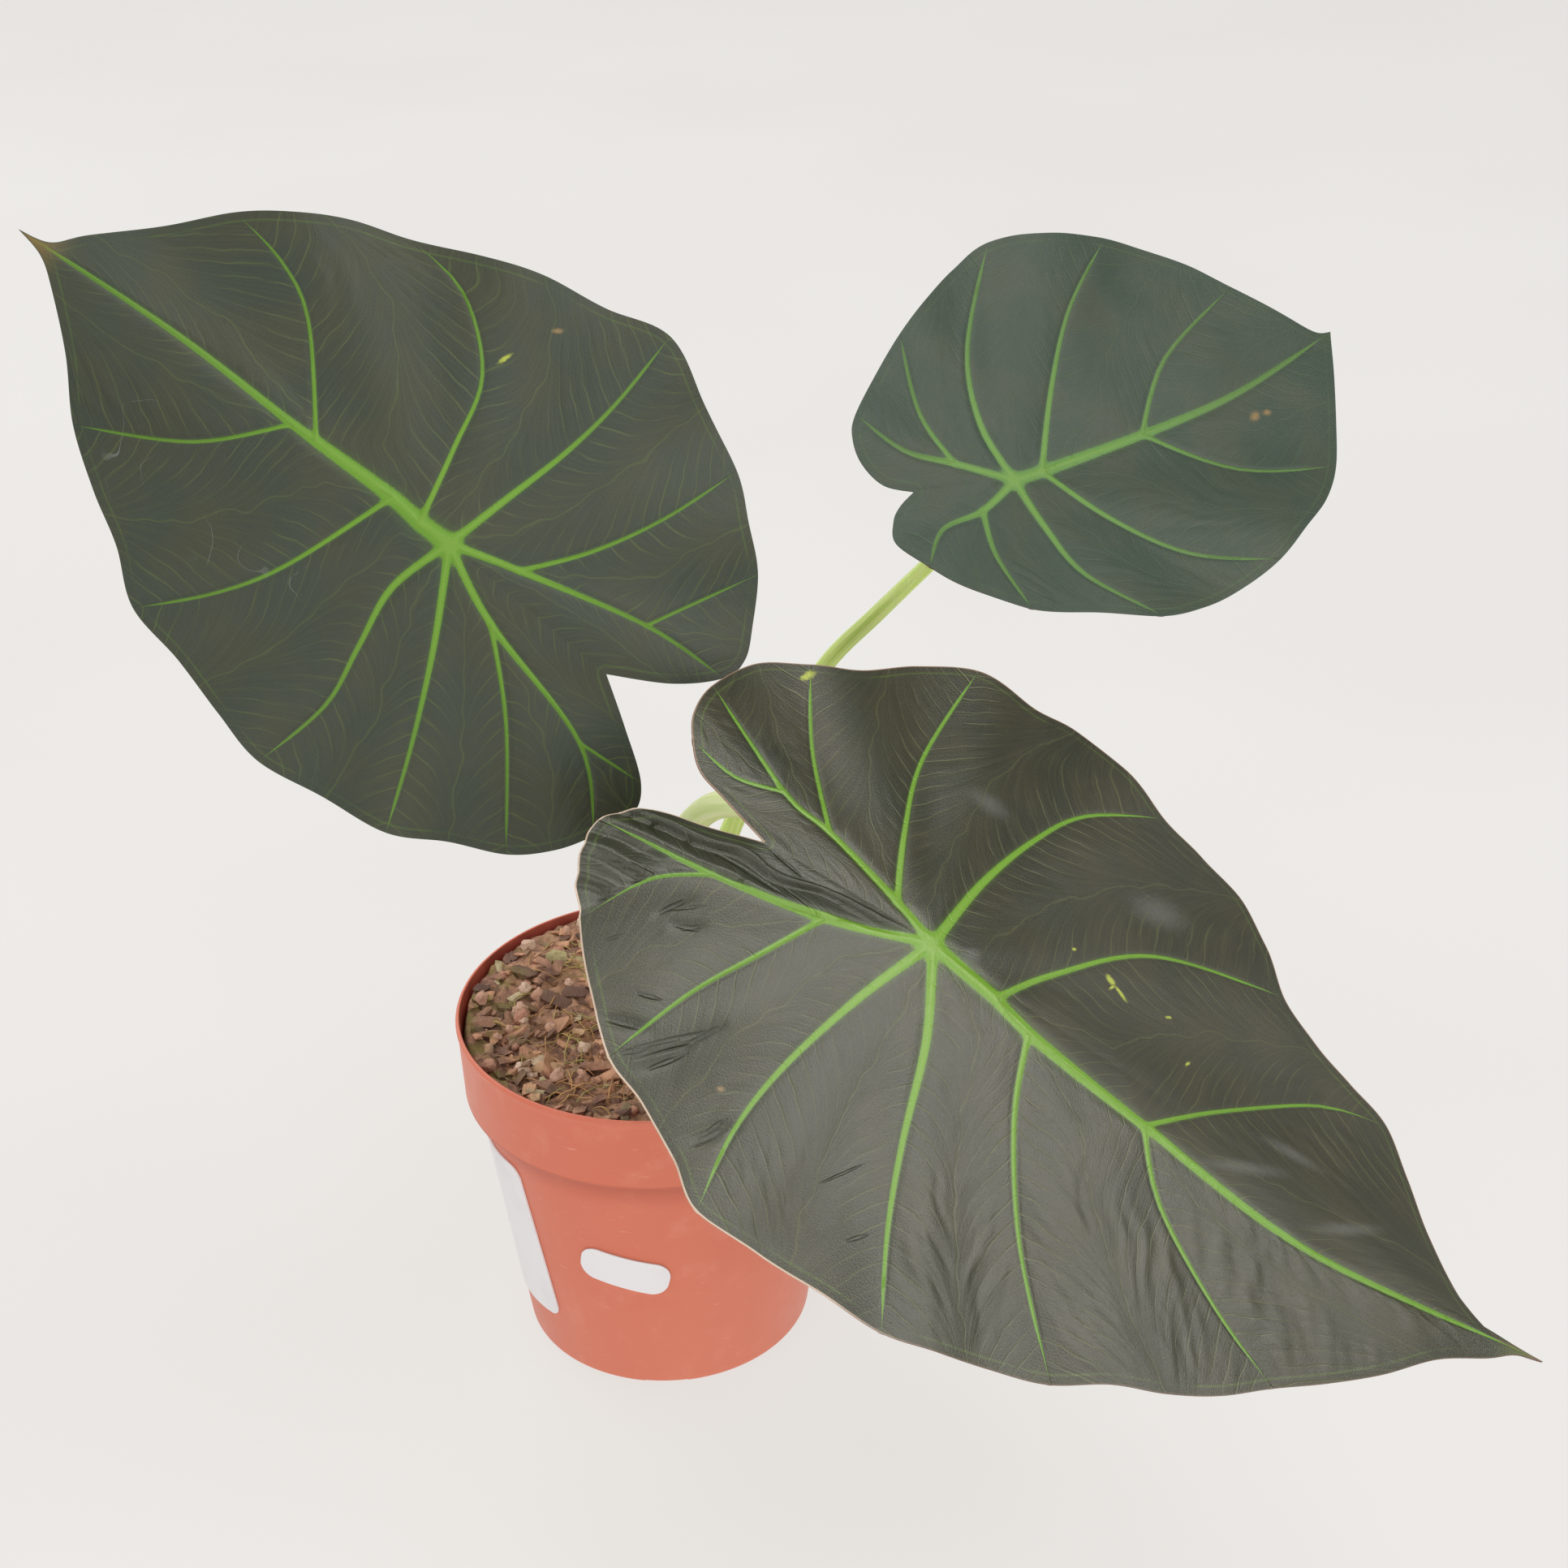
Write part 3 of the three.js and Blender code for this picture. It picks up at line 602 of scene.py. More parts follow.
# %% Draw the shapes of the bits
SEED = 31
CHIP_CORNERS = 13
PROTOTYPES = 14
GRAIN_BROAD, GRAIN_FINE = (3.2, 0.45), (9, 0.16)  # how close together a grain's bumps are, and how high
draw = np.random.default_rng(SEED)


def read_shape(shape):
    """The points and faces of a shape, which is then let go."""
    shape.verts.index_update()
    points = np.array([vert.co[:] for vert in shape.verts])
    faces = [[vert.index for vert in face.verts] for face in shape.faces]
    shape.free()
    return points, faces


def hull_shape(corners):
    """The points and faces of the smallest closed shape round some corners."""
    shape = bmesh.new()
    for corner in corners:
        shape.verts.new(corner)
    made = bmesh.ops.convex_hull(shape, input=shape.verts[:])
    left_over = dict.fromkeys(made["geom_interior"] + made["geom_unused"])
    spare = [item for item in left_over if isinstance(item, bmesh.types.BMVert)]
    bmesh.ops.delete(shape, geom=spare, context="VERTS")
    return read_shape(shape)


def chip_shape():
    corners = draw.uniform(-1, 1, (CHIP_CORNERS, 3))
    corners /= np.abs(corners).max(axis=1, keepdims=True)
    return hull_shape(corners * 0.5)


def grain_shape():
    shape = bmesh.new()
    bmesh.ops.create_icosphere(shape, subdivisions=3, radius=0.5)
    shift = Vector(draw.uniform(-50, 50, 3))
    for vert in shape.verts:
        broad = GRAIN_BROAD[1] * noise.noise(vert.co * GRAIN_BROAD[0] + shift)
        fine = GRAIN_FINE[1] * noise.noise(vert.co * GRAIN_FINE[0] + shift)
        vert.co *= 1 + broad + fine
    return read_shape(shape)


print("corners drawn for each flake:", CHIP_CORNERS)

# %% [markdown]
# ## Finishes for the bits
# Each kind of bit has one finish, but no two flakes of bark are the same brown. A material for
# each of them would be hundreds, so every bit carries one number, its shade, and the finish
# looks up the bit's own colour with it. Grain, darker patches, moss and pores then go over that
# colour.

# %% Mix the finishes of the bits
def chip_finish():
    """Bark: each flake has its own brown, with dark grain along it, and darker patches over all."""
    kit = FinishKit("bark_chips")
    spot = kit.spot()
    grain = kit.cloud(kit.stretch(spot, (1.0, 0.35, 1.0)), 900.0, 4.0, 0.65)
    stops = [
        (0.0, screen_colour(98, 76, 66)),
        (0.25, screen_colour(160, 120, 100)),
        (0.5, screen_colour(208, 154, 122)),
        (0.72, screen_colour(226, 172, 136)),
        (0.86, screen_colour(184, 172, 126)),
        (1.0, screen_colour(240, 210, 188)),
    ]
    own = kit.ramp(kit.number("shade"), stops)
    # darker in random patches
    damp = kit.rise(kit.cloud(spot, 80.0, 2.0), 0.46, 0.6, 0.0, 0.6)
    own = kit.blend(damp, own, screen_colour(88, 64, 58))
    dark_grain = kit.blend(0.5, own, screen_colour(98, 66, 54))
    worn = kit.blend(kit.rise(grain, 0.4, 0.75, 0.0, 0.7), own, dark_grain)
    kit.set(Base_Color=mossy(kit, spot, worn))
    kit.set(Roughness=kit.rise(grain, 0.3, 0.7, 0.6, 0.9), Specular_IOR_Level=0.3)
    kit.bump(grain, 0.0006)
    return kit.material


def perlite_finish():
    """Perlite: white once, now stained by the bark, with small darker pores."""
    kit = FinishKit("perlite_grains")
    pores = kit.cells(kit.spot(), 1500.0)
    stops = [
        (0.0, screen_colour(188, 136, 112)),
        (0.5, screen_colour(206, 162, 138)),
        (1.0, screen_colour(224, 196, 172)),
    ]
    own = kit.ramp(kit.number("shade"), stops)
    pored = kit.blend(kit.rise(pores, 0.1, 0.35, 0.45, 0.0), own, screen_colour(176, 134, 112))
    kit.set(Base_Color=pored)
    kit.set(Roughness=kit.rise(pores, 0.1, 0.5, 0.95, 0.8))
    kit.bump(pores, 0.0005, 0.6)
    return kit.material


def fibre_finish():
    """Coconut fibre: dry, each from tan to green-brown, with dark specks."""
    kit = FinishKit("coir_fibres")
    speck = kit.cloud(kit.spot(), 260.0, 3.0)
    stops = [
        (0.0, screen_colour(160, 112, 72)),
        (0.5, screen_colour(204, 156, 104)),
        (1.0, screen_colour(160, 162, 88)),
    ]
    own = kit.ramp(kit.number("shade"), stops)
    specked = kit.blend(kit.rise(speck, 0.4, 0.7, 0.0, 0.6), own, screen_colour(116, 82, 58))
    kit.set(Base_Color=specked)
    kit.set(Roughness=kit.rise(speck, 0.3, 0.7, 0.65, 0.85))
    return kit.material


bit_finishes = dict(bark=chip_finish(), perlite=perlite_finish(), coir=fibre_finish())
print("finishes of the bits:", [finish.name for finish in bit_finishes.values()])

# %% [markdown]
# ## Heaps of bits
# A particle system could scatter the bits, but those are lost when the model is exported. So they
# are placed one by one by a seeded draw, the same each time, and each kind is fused into one
# mesh, because a thousand separate objects would be slow to handle. They keep clear of the stalks
# and of the pot's wall.

# %% Make the heaps
STALK_FEET = [(-6, -2, 4.6), (4, -7, 5.4), (5, 5, 4.4)]
BITS_RADIUS = POT["collar"] - WALL - 0.3
FOOT_CLEAR = 0.8  # the share of a bit's reach that it keeps from a stalk


def free_place(reach):
    """A random place on the bed that leaves room for a bit of this reach."""
    while True:
        x, y = draw.uniform(-BITS_RADIUS, BITS_RADIUS, 2)
        inside = math.hypot(x, y) < BITS_RADIUS - reach
        clear = all(math.hypot(x - u, y - v) > radius + reach * FOOT_CLEAR for u, v, radius in STALK_FEET)
        if inside and clear:
            return x, y


class Heap:
    """Many small bits fused in one mesh, with a shade for each bit."""

    def __init__(self):
        self.points, self.faces, self.shades, self.count = [], [], [], 0

    def drop(self, points, faces, shade):
        self.points.append(points)
        self.faces += [[index + self.count for index in face] for face in faces]
        self.shades.append(np.full(len(points), shade))
        self.count += len(points)

    def finish(self, name, finish, sharp):
        piece = add_piece(name, np.vstack(self.points), self.faces, [finish], sharp=sharp)
        add_measure(piece, "shade", np.concatenate(self.shades))


def turned_bit(points, size, tilt):
    spin = Matrix.Rotation(draw.uniform(0, 2 * math.pi), 3, "Z")
    lean = Matrix.Rotation(draw.normal(0, tilt), 3, "X") @ Matrix.Rotation(draw.normal(0, tilt), 3, "Y")
    return (points * size) @ np.array(spin @ lean).T


print("the bits lie within this many mm of the pot's axis:", round(BITS_RADIUS, 1))

# %% [markdown]
# ## Bark and perlite
# The bits lie as they fell: flakes of bark almost flat and half sunk, grains of perlite turned
# any way. One size of flake would leave gaps or look like tiles, so large ones come first, and
# many small ones fill in between.

# %% Scatter the bark and the perlite
CHIPS = [
    # name, count, length range, width share, thickness share
    ("bark_large", 150, (6.0, 12.5), (0.3, 0.6), (0.16, 0.3)),
    ("bark_small", 620, (2.2, 5.5), (0.4, 0.85), (0.25, 0.5)),
]
CHIP_LIFT = (0.05, 0.5)  # height of a flake's middle over the bed, as a share of its thickness
CHIP_TILT, GRAIN_TILT = 0.3, 1.0
CHIP_SHADES = (1.6, 1.9)
CHIP_SHARP = math.radians(25)
PERLITE = dict(count=75, size=(2.4, 5.6), squash=(0.75, 1.1), lift=(0.0, 0.4), shapes=5)


def scatter_chips():
    shapes = [chip_shape() for _ in range(PROTOTYPES)]
    for name, count, lengths, widths, depths in CHIPS:
        heap = Heap()
        for _ in range(count):
            length = draw.uniform(*lengths)
            points, faces = shapes[draw.integers(PROTOTYPES)]
            size = length * np.array([1, draw.uniform(*widths), draw.uniform(*depths)])
            x, y = free_place(length / 2)
            middle = (x, y, soil_height(x, y) + size[2] * draw.uniform(*CHIP_LIFT))
            heap.drop(turned_bit(points, size, CHIP_TILT) + middle, faces, draw.beta(*CHIP_SHADES))
        heap.finish(name, bit_finishes["bark"], CHIP_SHARP)


def scatter_perlite():
    shapes = [grain_shape() for _ in range(PERLITE["shapes"])]
    heap = Heap()
    for _ in range(PERLITE["count"]):
        size = draw.uniform(*PERLITE["size"]) * draw.uniform(*PERLITE["squash"], 3)
        points, faces = shapes[draw.integers(len(shapes))]
        x, y = free_place(size.max() / 2)
        middle = (x, y, soil_height(x, y) + size[2] * draw.uniform(*PERLITE["lift"]))
        heap.drop(turned_bit(points, size, GRAIN_TILT) + middle, faces, draw.uniform())
    heap.finish("perlite", bit_finishes["perlite"], math.pi)


scatter_chips()
scatter_perlite()

# %% [markdown]
# ## Coconut fibres
# Thin, curved fibres of coconut husk arch over the mix. They could be hair, but hair isn't
# exported as a mesh. So each is a thin closed tube along a bent path that follows the bed. The
# helper that makes the tube also makes the stalks later.

# %% Lay the fibres
FIBRES = dict(
    count=170, length=(9, 30), radius=(0.13, 0.28), steps=9, sides=5, bend=0.09, tip=0.5,
    height=0.7, lift=(0.2, 1.4), ripple=0.3, ripple_turn=9,
)
TUBE_SIDE = (0.3, 0.9, 0.1)


def tube(path, radii, sides, section=None):
    """A closed tube along a path. `section` may scale the radius round each ring."""
    path = np.asarray(path, float)
    ways = np.gradient(path, axis=0)
    ways /= np.linalg.norm(ways, axis=1, keepdims=True)
    side = np.cross(ways[0], TUBE_SIDE)
    angles = np.arange(sides) * 2 * math.pi / sides
    rings = []
    for index, (middle, way) in enumerate(zip(path, ways)):
        side = side - way * side.dot(way)
        side /= np.linalg.norm(side)
        other = np.cross(way, side)
        reach = radii[index] * (section[index] if section is not None else 1)
        ring = np.outer(np.cos(angles) * reach, side) + np.outer(np.sin(angles) * reach, other)
        rings.append(middle + ring)
    return closed_rings(rings, path[0], path[-1])


def scatter_fibres():
    heap = Heap()
    for _ in range(FIBRES["count"]):
        length = draw.uniform(*FIBRES["length"])
        radius = draw.uniform(*FIBRES["radius"])
        x, y = free_place(length / 2)
        heading, bend = draw.uniform(0, 2 * math.pi), draw.normal(0, FIBRES["bend"])
        lift, sway = draw.uniform(*FIBRES["lift"]), draw.uniform(0, 6)
        path = []
        for step in range(FIBRES["steps"]):
            share = step / (FIBRES["steps"] - 1)
            turn = heading + bend * (share - 0.5) * length
            if step:
                x += math.cos(turn) * length / FIBRES["steps"]
                y += math.sin(turn) * length / FIBRES["steps"]
            arch = lift * math.sin(math.pi * share)
            ripple = FIBRES["ripple"] * math.sin(sway + FIBRES["ripple_turn"] * share)
            path.append((x, y, soil_height(x, y) + FIBRES["height"] + arch + ripple))
        path = np.array(path)
        path[:, :2] -= path[:, :2].mean(axis=0) - path[0, :2]
        farthest = np.hypot(path[:, 0], path[:, 1]).max()
        if farthest > BITS_RADIUS:
            path[:, :2] *= BITS_RADIUS / farthest
        taper = np.full(FIBRES["steps"], radius)
        taper[[0, -1]] *= FIBRES["tip"]
        points, faces = tube(path, taper, FIBRES["sides"])
        heap.drop(points, faces, draw.uniform())
    heap.finish("coir", bit_finishes["coir"], math.pi)


scatter_fibres()

# %% [markdown]
# ## The stickers
# Two white stickers wrap the pot's tapered body. Their print isn't copied: both are blank. A
# sticker could be a decal in the pot's finish, but a real one has an edge that catches light
# and a skin smoother than the plastic. So each is a thin sheet of its own, bent to the pot's
# round and leaning with its taper.

# %% Stick the labels on
LABELS = [
    # name, angle from the front, height, width and height, tilt, corner
    ("label_small", -12, 48, (27, 12.5), -12, 5),
    ("label_large", -74, 45, (48, 57), 6, 4),
]
LABEL_LIFT = 0.3
LABEL_THICKNESS = 0.3
LABEL_SINK = 0.2  # how far the sticker's back reaches below its lift, so that no gap shows
LABEL_RINGS = 24
CORNER_POINTS = 12
SIDE_POINTS = 16


def body_radius(z):
    body_top = POT["height"] - POT["collar_height"] - STEP
    return lerp(POT["base"], POT["body_top"], (z - FOOT) / (body_top - FOOT))


def rounded_outline(width, height, radius):
    """Points round a rectangle with round corners, close together in the corners."""
    outline = []
    x, y = width / 2 - radius, height / 2 - radius
    middles = [(x, y), (-x, y), (-x, -y), (x, -y)]
    for quarter, (u, v) in enumerate(middles):
        for step in range(CORNER_POINTS + 1):
            angle = (quarter + step / CORNER_POINTS) * math.pi / 2
            outline.append((u + radius * math.cos(angle), v + radius * math.sin(angle)))
        ahead = middles[(quarter + 1) % 4]
        turn = (quarter + 1) * math.pi / 2
        corner = np.array([radius * math.cos(turn), radius * math.sin(turn)])
        start, end = np.array((u, v)) + corner, np.array(ahead) + corner
        outline += [tuple(lerp(start, end, step / SIDE_POINTS)) for step in range(1, SIDE_POINTS)]
    return np.array(outline)


def label_finish():
    """Coated white paper: almost smooth, a little grey where it has been rubbed."""
    kit = FinishKit("label_paper")
    spot = kit.spot()
    fibre = kit.cloud(spot, 1400.0, 3.0, 0.6)
    smudge = kit.cloud(spot, 60.0, 2.0)
    clean, rubbed = screen_colour(240, 237, 238), screen_colour(228, 224, 226)
    white = kit.blend(kit.rise(smudge, 0.45, 0.75, 0.0, 0.5), clean, rubbed)
    kit.set(Base_Color=kit.blend(kit.rise(fibre, 0.4, 0.8, 0.0, 0.3), white, screen_colour(232, 230, 236)))
    kit.set(Roughness=kit.rise(fibre, 0.3, 0.7, 0.42, 0.55))
    kit.bump(fibre, 0.00004, 0.5)
    return kit.material


def build_label(name, angle, height, size, tilt, corner, finish):
    outline = rounded_outline(*size, corner)
    sheet = np.vstack([[(0, 0)]] + [outline * ring / LABEL_RINGS for ring in range(1, LABEL_RINGS + 1)])
    lean = math.radians(tilt)
    x = sheet[:, 0] * math.cos(lean) - sheet[:, 1] * math.sin(lean)
    z = height + sheet[:, 0] * math.sin(lean) + sheet[:, 1] * math.cos(lean)
    turn = math.radians(angle) + x / body_radius(height)
    points = []
    for lift in (LABEL_LIFT + LABEL_THICKNESS, LABEL_LIFT - LABEL_SINK):
        radius = body_radius(z) + lift
        points.append(np.stack([radius * np.sin(turn), -radius * np.cos(turn), z], 1))
    around = len(outline)
    count = len(sheet)
    faces = []
    for step in range(around):
        beside = (step + 1) % around
        faces.append((0, 1 + step, 1 + beside))
        for ring in range(LABEL_RINGS - 1):
            inner, outer = 1 + ring * around, 1 + (ring + 1) * around
            faces.append((inner + step, outer + step, outer + beside, inner + beside))
    below = [[index + count for index in reversed(face)] for face in faces]
    edge = 1 + (LABEL_RINGS - 1) * around + np.arange(around)
    beside = np.roll(edge, -1)
    band = np.stack([edge, edge + count, beside + count, beside], 1).tolist()
    add_piece(name + "_sticker", np.vstack(points), faces + below + band, [finish], name)


paper = label_finish()
for label in LABELS:
    build_label(*label, paper)

# %% [markdown]
# ## Three leaves as flat drawings
# Each leaf is drawn flat first, in millimetres from the point where its stalk joins: `u` runs to
# the tip and `v` across. An outline goes from the tip to the notch, and an entry with a name is
# where that rib ends. A rib forks from its parent at a row, and each point of its course gives
# the row it lies on. The same drawings made the solid leaves, so the fine leaves fit them.

# %% Draw the left leaf
LEFT_LEAF = dict(
    name="left", junction=(-43, -53, 284), tip=(-0.78, 0.15, 0.6), facing=(0.16, -0.89, 0.42),
    fold=0.1, cup=0.02, droop=0.07, lobe_droop=0.06, twist=-0.02,
    wave=(1.6, 10, 0.5, 75), rows=12, notch=(-51, 3),
    midrib=[(0, 0, 0), (1, 9, 0), (2, 18, -1), (4, 41, -1), (5, 48, -1), (8, 84, -2), (12, 129, 0)],
    outlines=[
        [
            (129, 0), (121, 2), (114, 7), (102, 18), (91, 31, "a"), (78, 41), (65, 49), (53, 59, "b"),
            (37, 63), (21, 68), (6, 72, "c"), (-12, 70), (-30, 68, "d"), (-44, 61), (-58, 55, "e"), (-67, 47),
            (-73, 38, "lobe"), (-78, 28), (-75, 20, "inner"), (-63, 11), (-51, 3),
        ],
        [
            (129, 0), (121, -2), (115, -9), (102, -22), (90, -35, "a"), (78, -44), (66, -51), (52, -56, "b"),
            (36, -63), (20, -69), (3, -72), (-14, -76, "c"), (-31, -68), (-48, -59, "d"), (-58, -50),
            (-68, -41, "e"), (-75, -29), (-78, -21), (-76, -14, "lobe"), (-66, -5), (-51, 3),
        ],
    ],
    ribs=[
        dict(
            a=("midrib", 5, [(8, 65, 17), (12, 91, 31)]),
            b=("midrib", 2, [(6, 29, 28), (9, 39, 44), (12, 53, 59)]),
            c=("midrib", 0, [(3, 5, 17), (6, 3, 34), (9, 1, 51), (12, 6, 72)]),
            d=("midrib", 0, [(4, -12, 23), (8, -22, 46), (12, -30, 68)]),
            lobe=("midrib", 0, [(3, -20, 10), (8, -56, 21), (12, -73, 38)]),
            e=("lobe", 3, [(7, -38, 28), (12, -58, 55)]),
            inner=("lobe", 8, [(12, -75, 20)]),
        ),
        dict(
            a=("midrib", 4, [(8, 60, -24), (10, 74, -32), (12, 90, -35)]),
            b=("midrib", 1, [(4, 13, -20), (7, 18, -39), (10, 34, -53), (12, 52, -56)]),
            c=("midrib", 0, [(3, -5, -18), (6, -10, -36), (9, -13, -54), (12, -14, -76)]),
            lobe=("midrib", 0, [(3, -18, -5), (8, -52, -13), (12, -76, -14)]),
            d=("lobe", 3, [(6, -30, -20), (9, -40, -38), (12, -48, -59)]),
            e=("lobe", 8, [(12, -68, -41)]),
        ),
    ],
)
print("ribs beside the left leaf's midrib:", sum(map(len, LEFT_LEAF["ribs"])))

# %% [markdown]
# ## The near leaf's drawing
# The near leaf is the largest. Its midrib bends, and each side has more ribs. Mirroring one side
# would be quicker, but the halves of a real leaf differ, so each side is drawn on its own.

# %% Draw the near leaf
FRONT_LEAF = dict(
    name="front", junction=(74, -126, 210), tip=(0.82, -0.15, -0.55), facing=(0.41, -0.52, 0.75),
    fold=0.17, cup=0, droop=0.02, lobe_droop=0.16, twist=-0.07,
    wave=(1.8, 11, 2, 95), rows=14, notch=(-47, 1),
    midrib=[(0, 0, 0), (2, 20, -3), (3, 31, -6), (6, 67, -10), (10, 121, -14), (14, 189, -3)],
    outlines=[
        [
            (189, -3), (181, -6), (174, -11), (161, -19), (149, -30), (136, -40), (123, -49, "a"),
            (111, -58), (98, -65), (85, -70), (72, -77, "b"), (58, -81), (44, -85), (30, -88, "c"), (14, -86),
            (-3, -86), (-20, -85, "d"), (-30, -76), (-42, -68), (-54, -63, "e"), (-65, -50),
            (-75, -36, "f"), (-82, -25), (-83, -13, "lobe"), (-74, -5), (-60, -2), (-47, 1),
        ],
        [
            (189, -3), (181, -4), (173, -5), (161, 1), (151, 13), (144, 27), (135, 39, "a"), (121, 43),
            (107, 46), (94, 52, "b"), (86, 66), (77, 78), (62, 81), (47, 82, "c"), (32, 90),
            (16, 93), (1, 88), (-16, 87, "d"), (-31, 78), (-44, 65), (-56, 58, "e"), (-68, 51),
            (-75, 37, "lobe"), (-76, 26), (-73, 18, "inner"), (-68, 11), (-60, 7), (-47, 1),
        ],
    ],
    ribs=[
        dict(
            a=("midrib", 6, [(8, 79, -25), (11, 101, -39), (14, 123, -49)]),
            b=("midrib", 3, [(6, 37, -27), (10, 51, -52), (14, 72, -77)]),
            c=("midrib", 0, [(3, 9, -21), (7, 15, -46), (10, 21, -66), (14, 30, -88)]),
            d=("midrib", 0, [(4, -10, -22), (8, -18, -46), (11, -21, -65), (14, -20, -85)]),
            lobe=("midrib", 0, [(4, -26, -9), (9, -54, -13), (14, -83, -13)]),
            e=("lobe", 4, [(7, -35, -24), (10, -45, -41), (14, -54, -63)]),
            f=("lobe", 9, [(12, -66, -21), (14, -75, -36)]),
        ),
        dict(
            a=("midrib", 6, [(9, 88, 10), (12, 114, 31), (14, 135, 39)]),
            b=("midrib", 2, [(5, 32, 14), (9, 56, 38), (14, 94, 52)]),
            c=("midrib", 0, [(4, 6, 25), (8, 15, 48), (11, 26, 66), (14, 47, 82)]),
            lobe=("midrib", 0, [(2, -12, 5), (6, -34, 13), (8, -48, 17), (14, -75, 37)]),
            d=("lobe", 2, [(5, -17, 25), (9, -20, 50), (14, -16, 87)]),
            e=("lobe", 6, [(10, -46, 34), (14, -56, 58)]),
            inner=("lobe", 8, [(11, -60, 14), (14, -73, 18)]),
        ),
    ],
)
print("ribs beside the near leaf's midrib:", sum(map(len, FRONT_LEAF["ribs"])))

# %% [markdown]
# ## The far leaf's drawing
# The far leaf is small. It could be a shrunken copy, but it has fewer ribs, and its halves rise
# from the midrib like a shallow trough, where the other two fall away like a roof.

# %% Draw the far leaf
BACK_LEAF = dict(
    name="back", junction=(104, 14, 270), tip=(0.82, 0.55, 0.15), facing=(0.26, -0.59, 0.76),
    fold=-0.18, cup=0, droop=0.02, lobe_droop=0.04, twist=0,
    wave=(1.2, 8, 1, 60), rows=10, notch=(-29, 9),
    midrib=[(0, 0, 0), (1, 9, -1), (4, 43, -4), (7, 78, -5), (10, 119, 0)],
    outlines=[
        [
            (119, 0), (110, -13), (100, -26), (89, -38, "a"), (77, -46), (64, -51), (50, -56, "b"),
            (36, -58), (22, -58), (8, -55, "c"), (-7, -45), (-22, -36, "d"), (-31, -25),
            (-38, -12, "lobe"), (-42, -2), (-39, 4), (-35, 7), (-29, 9),
        ],
        [
            (119, 0), (114, 2), (107, 10), (96, 24, "a"), (88, 35), (77, 44), (65, 51, "b"), (47, 58),
            (30, 63, "c"), (16, 60), (3, 55), (-10, 49, "d"), (-22, 42), (-34, 34, "lobe"), (-38, 29),
            (-39, 22), (-36, 14), (-29, 9),
        ],
    ],
    ribs=[
        dict(
            a=("midrib", 4, [(7, 62, -26), (10, 89, -38)]),
            b=("midrib", 1, [(4, 16, -22), (7, 29, -42), (10, 50, -56)]),
            c=("midrib", 0, [(3, -2, -16), (6, -2, -34), (10, 8, -55)]),
            lobe=("midrib", 0, [(3, -14, -4), (7, -28, -4), (10, -38, -12)]),
            d=("lobe", 3, [(6, -20, -18), (10, -22, -36)]),
        ),
        dict(
            a=("midrib", 4, [(7, 63, 13), (10, 96, 24)]),
            b=("midrib", 1, [(4, 26, 20), (7, 43, 37), (10, 65, 51)]),
            c=("midrib", 0, [(3, -1, 18), (6, 7, 38), (10, 30, 63)]),
            lobe=("midrib", 0, [(3, -14, 11), (7, -26, 20), (10, -34, 34)]),
            d=("lobe", 3, [(6, -16, 27), (10, -10, 49)]),
        ),
    ],
)
LEAVES = [LEFT_LEAF, FRONT_LEAF, BACK_LEAF]
print("ribs beside the far leaf's midrib:", sum(map(len, BACK_LEAF["ribs"])))

# %% [markdown]
# ## Where a leaf hangs
# A drawing becomes a leaf by standing it up in space: one direction runs to the tip, one faces
# out of the leaf, and the third lies across. The surface itself is a formula: a soft fold along
# the midrib, a droop towards the tip and the lobes, a slight twist, and waves that grow towards
# the edge. Sculpting it by hand would lose the solid leaf's shape. Two of its details are finer
# than the solid: where the near leaf's midrib bends, the crease follows it, and its waves are
# calmer in front of its tip. The quilting between the veins is added later.

# %% Stand a leaf in space
FOLD_RADIUS = 2.5
CREST_FALL = dict(left=0.0, front=0.28, back=0.0)  # slope beyond the bent midrib
CREST_REACH = 45
CALM = dict(left=0.0, front=0.8, back=0.0)  # how much of the waves is gone
CALM_AT = -0.4  # in radians from the leaf's axis, as is the width
CALM_WIDTH = 0.35
RIM_LIMIT = 1.6


def leaf_axes(leaf):
    face = Vector(leaf["facing"]).normalized()
    along = Vector(leaf["tip"])
    along = (along - face * along.dot(face)).normalized()
    return np.array([along, face.cross(along), face])


def midrib_at(leaf, u):
    """How far across the midrib runs at each distance towards the tip."""
    line = np.array(leaf["midrib"], float)
    return np.interp(u, line[:, 1], line[:, 2])


def crest_fall(leaf, u, v):
    """A bent midrib takes the crease along, so the far side starts to fall from the midrib."""
    midrib = midrib_at(leaf, u)
    beyond = np.clip(v - midrib, 0, np.maximum(-midrib, 0))
    return -CREST_FALL[leaf["name"]] * beyond * (1 - smooth_rise(v, 0, CREST_REACH))


def surface_height(leaf, u, v):
    height, count, phase, reach = leaf["wave"]
    ridge = -leaf["fold"] * (np.hypot(v, FOLD_RADIUS) - FOLD_RADIUS) - leaf["cup"] * v * v / 100
    droop = np.where(u > 0, leaf["droop"], leaf["lobe_droop"])
    hang = (-droop * u * u + leaf["twist"] * u * v) / 100
    turn = np.arctan2(v, u)
    calm = 1 - CALM[leaf["name"]] * np.exp(-(((turn - CALM_AT) / CALM_WIDTH) ** 2))
    rim = np.minimum((u * u + v * v) / reach**2, RIM_LIMIT) * calm
    return ridge + hang + height * rim * np.sin(count * turn + phase) + crest_fall(leaf, u, v)


def in_space(leaf, u, v, height):
    along, across, face = leaf_axes(leaf)
    flat = np.asarray(leaf["junction"]) + np.outer(u, along) + np.outer(v, across)
    return flat + np.outer(height, face)


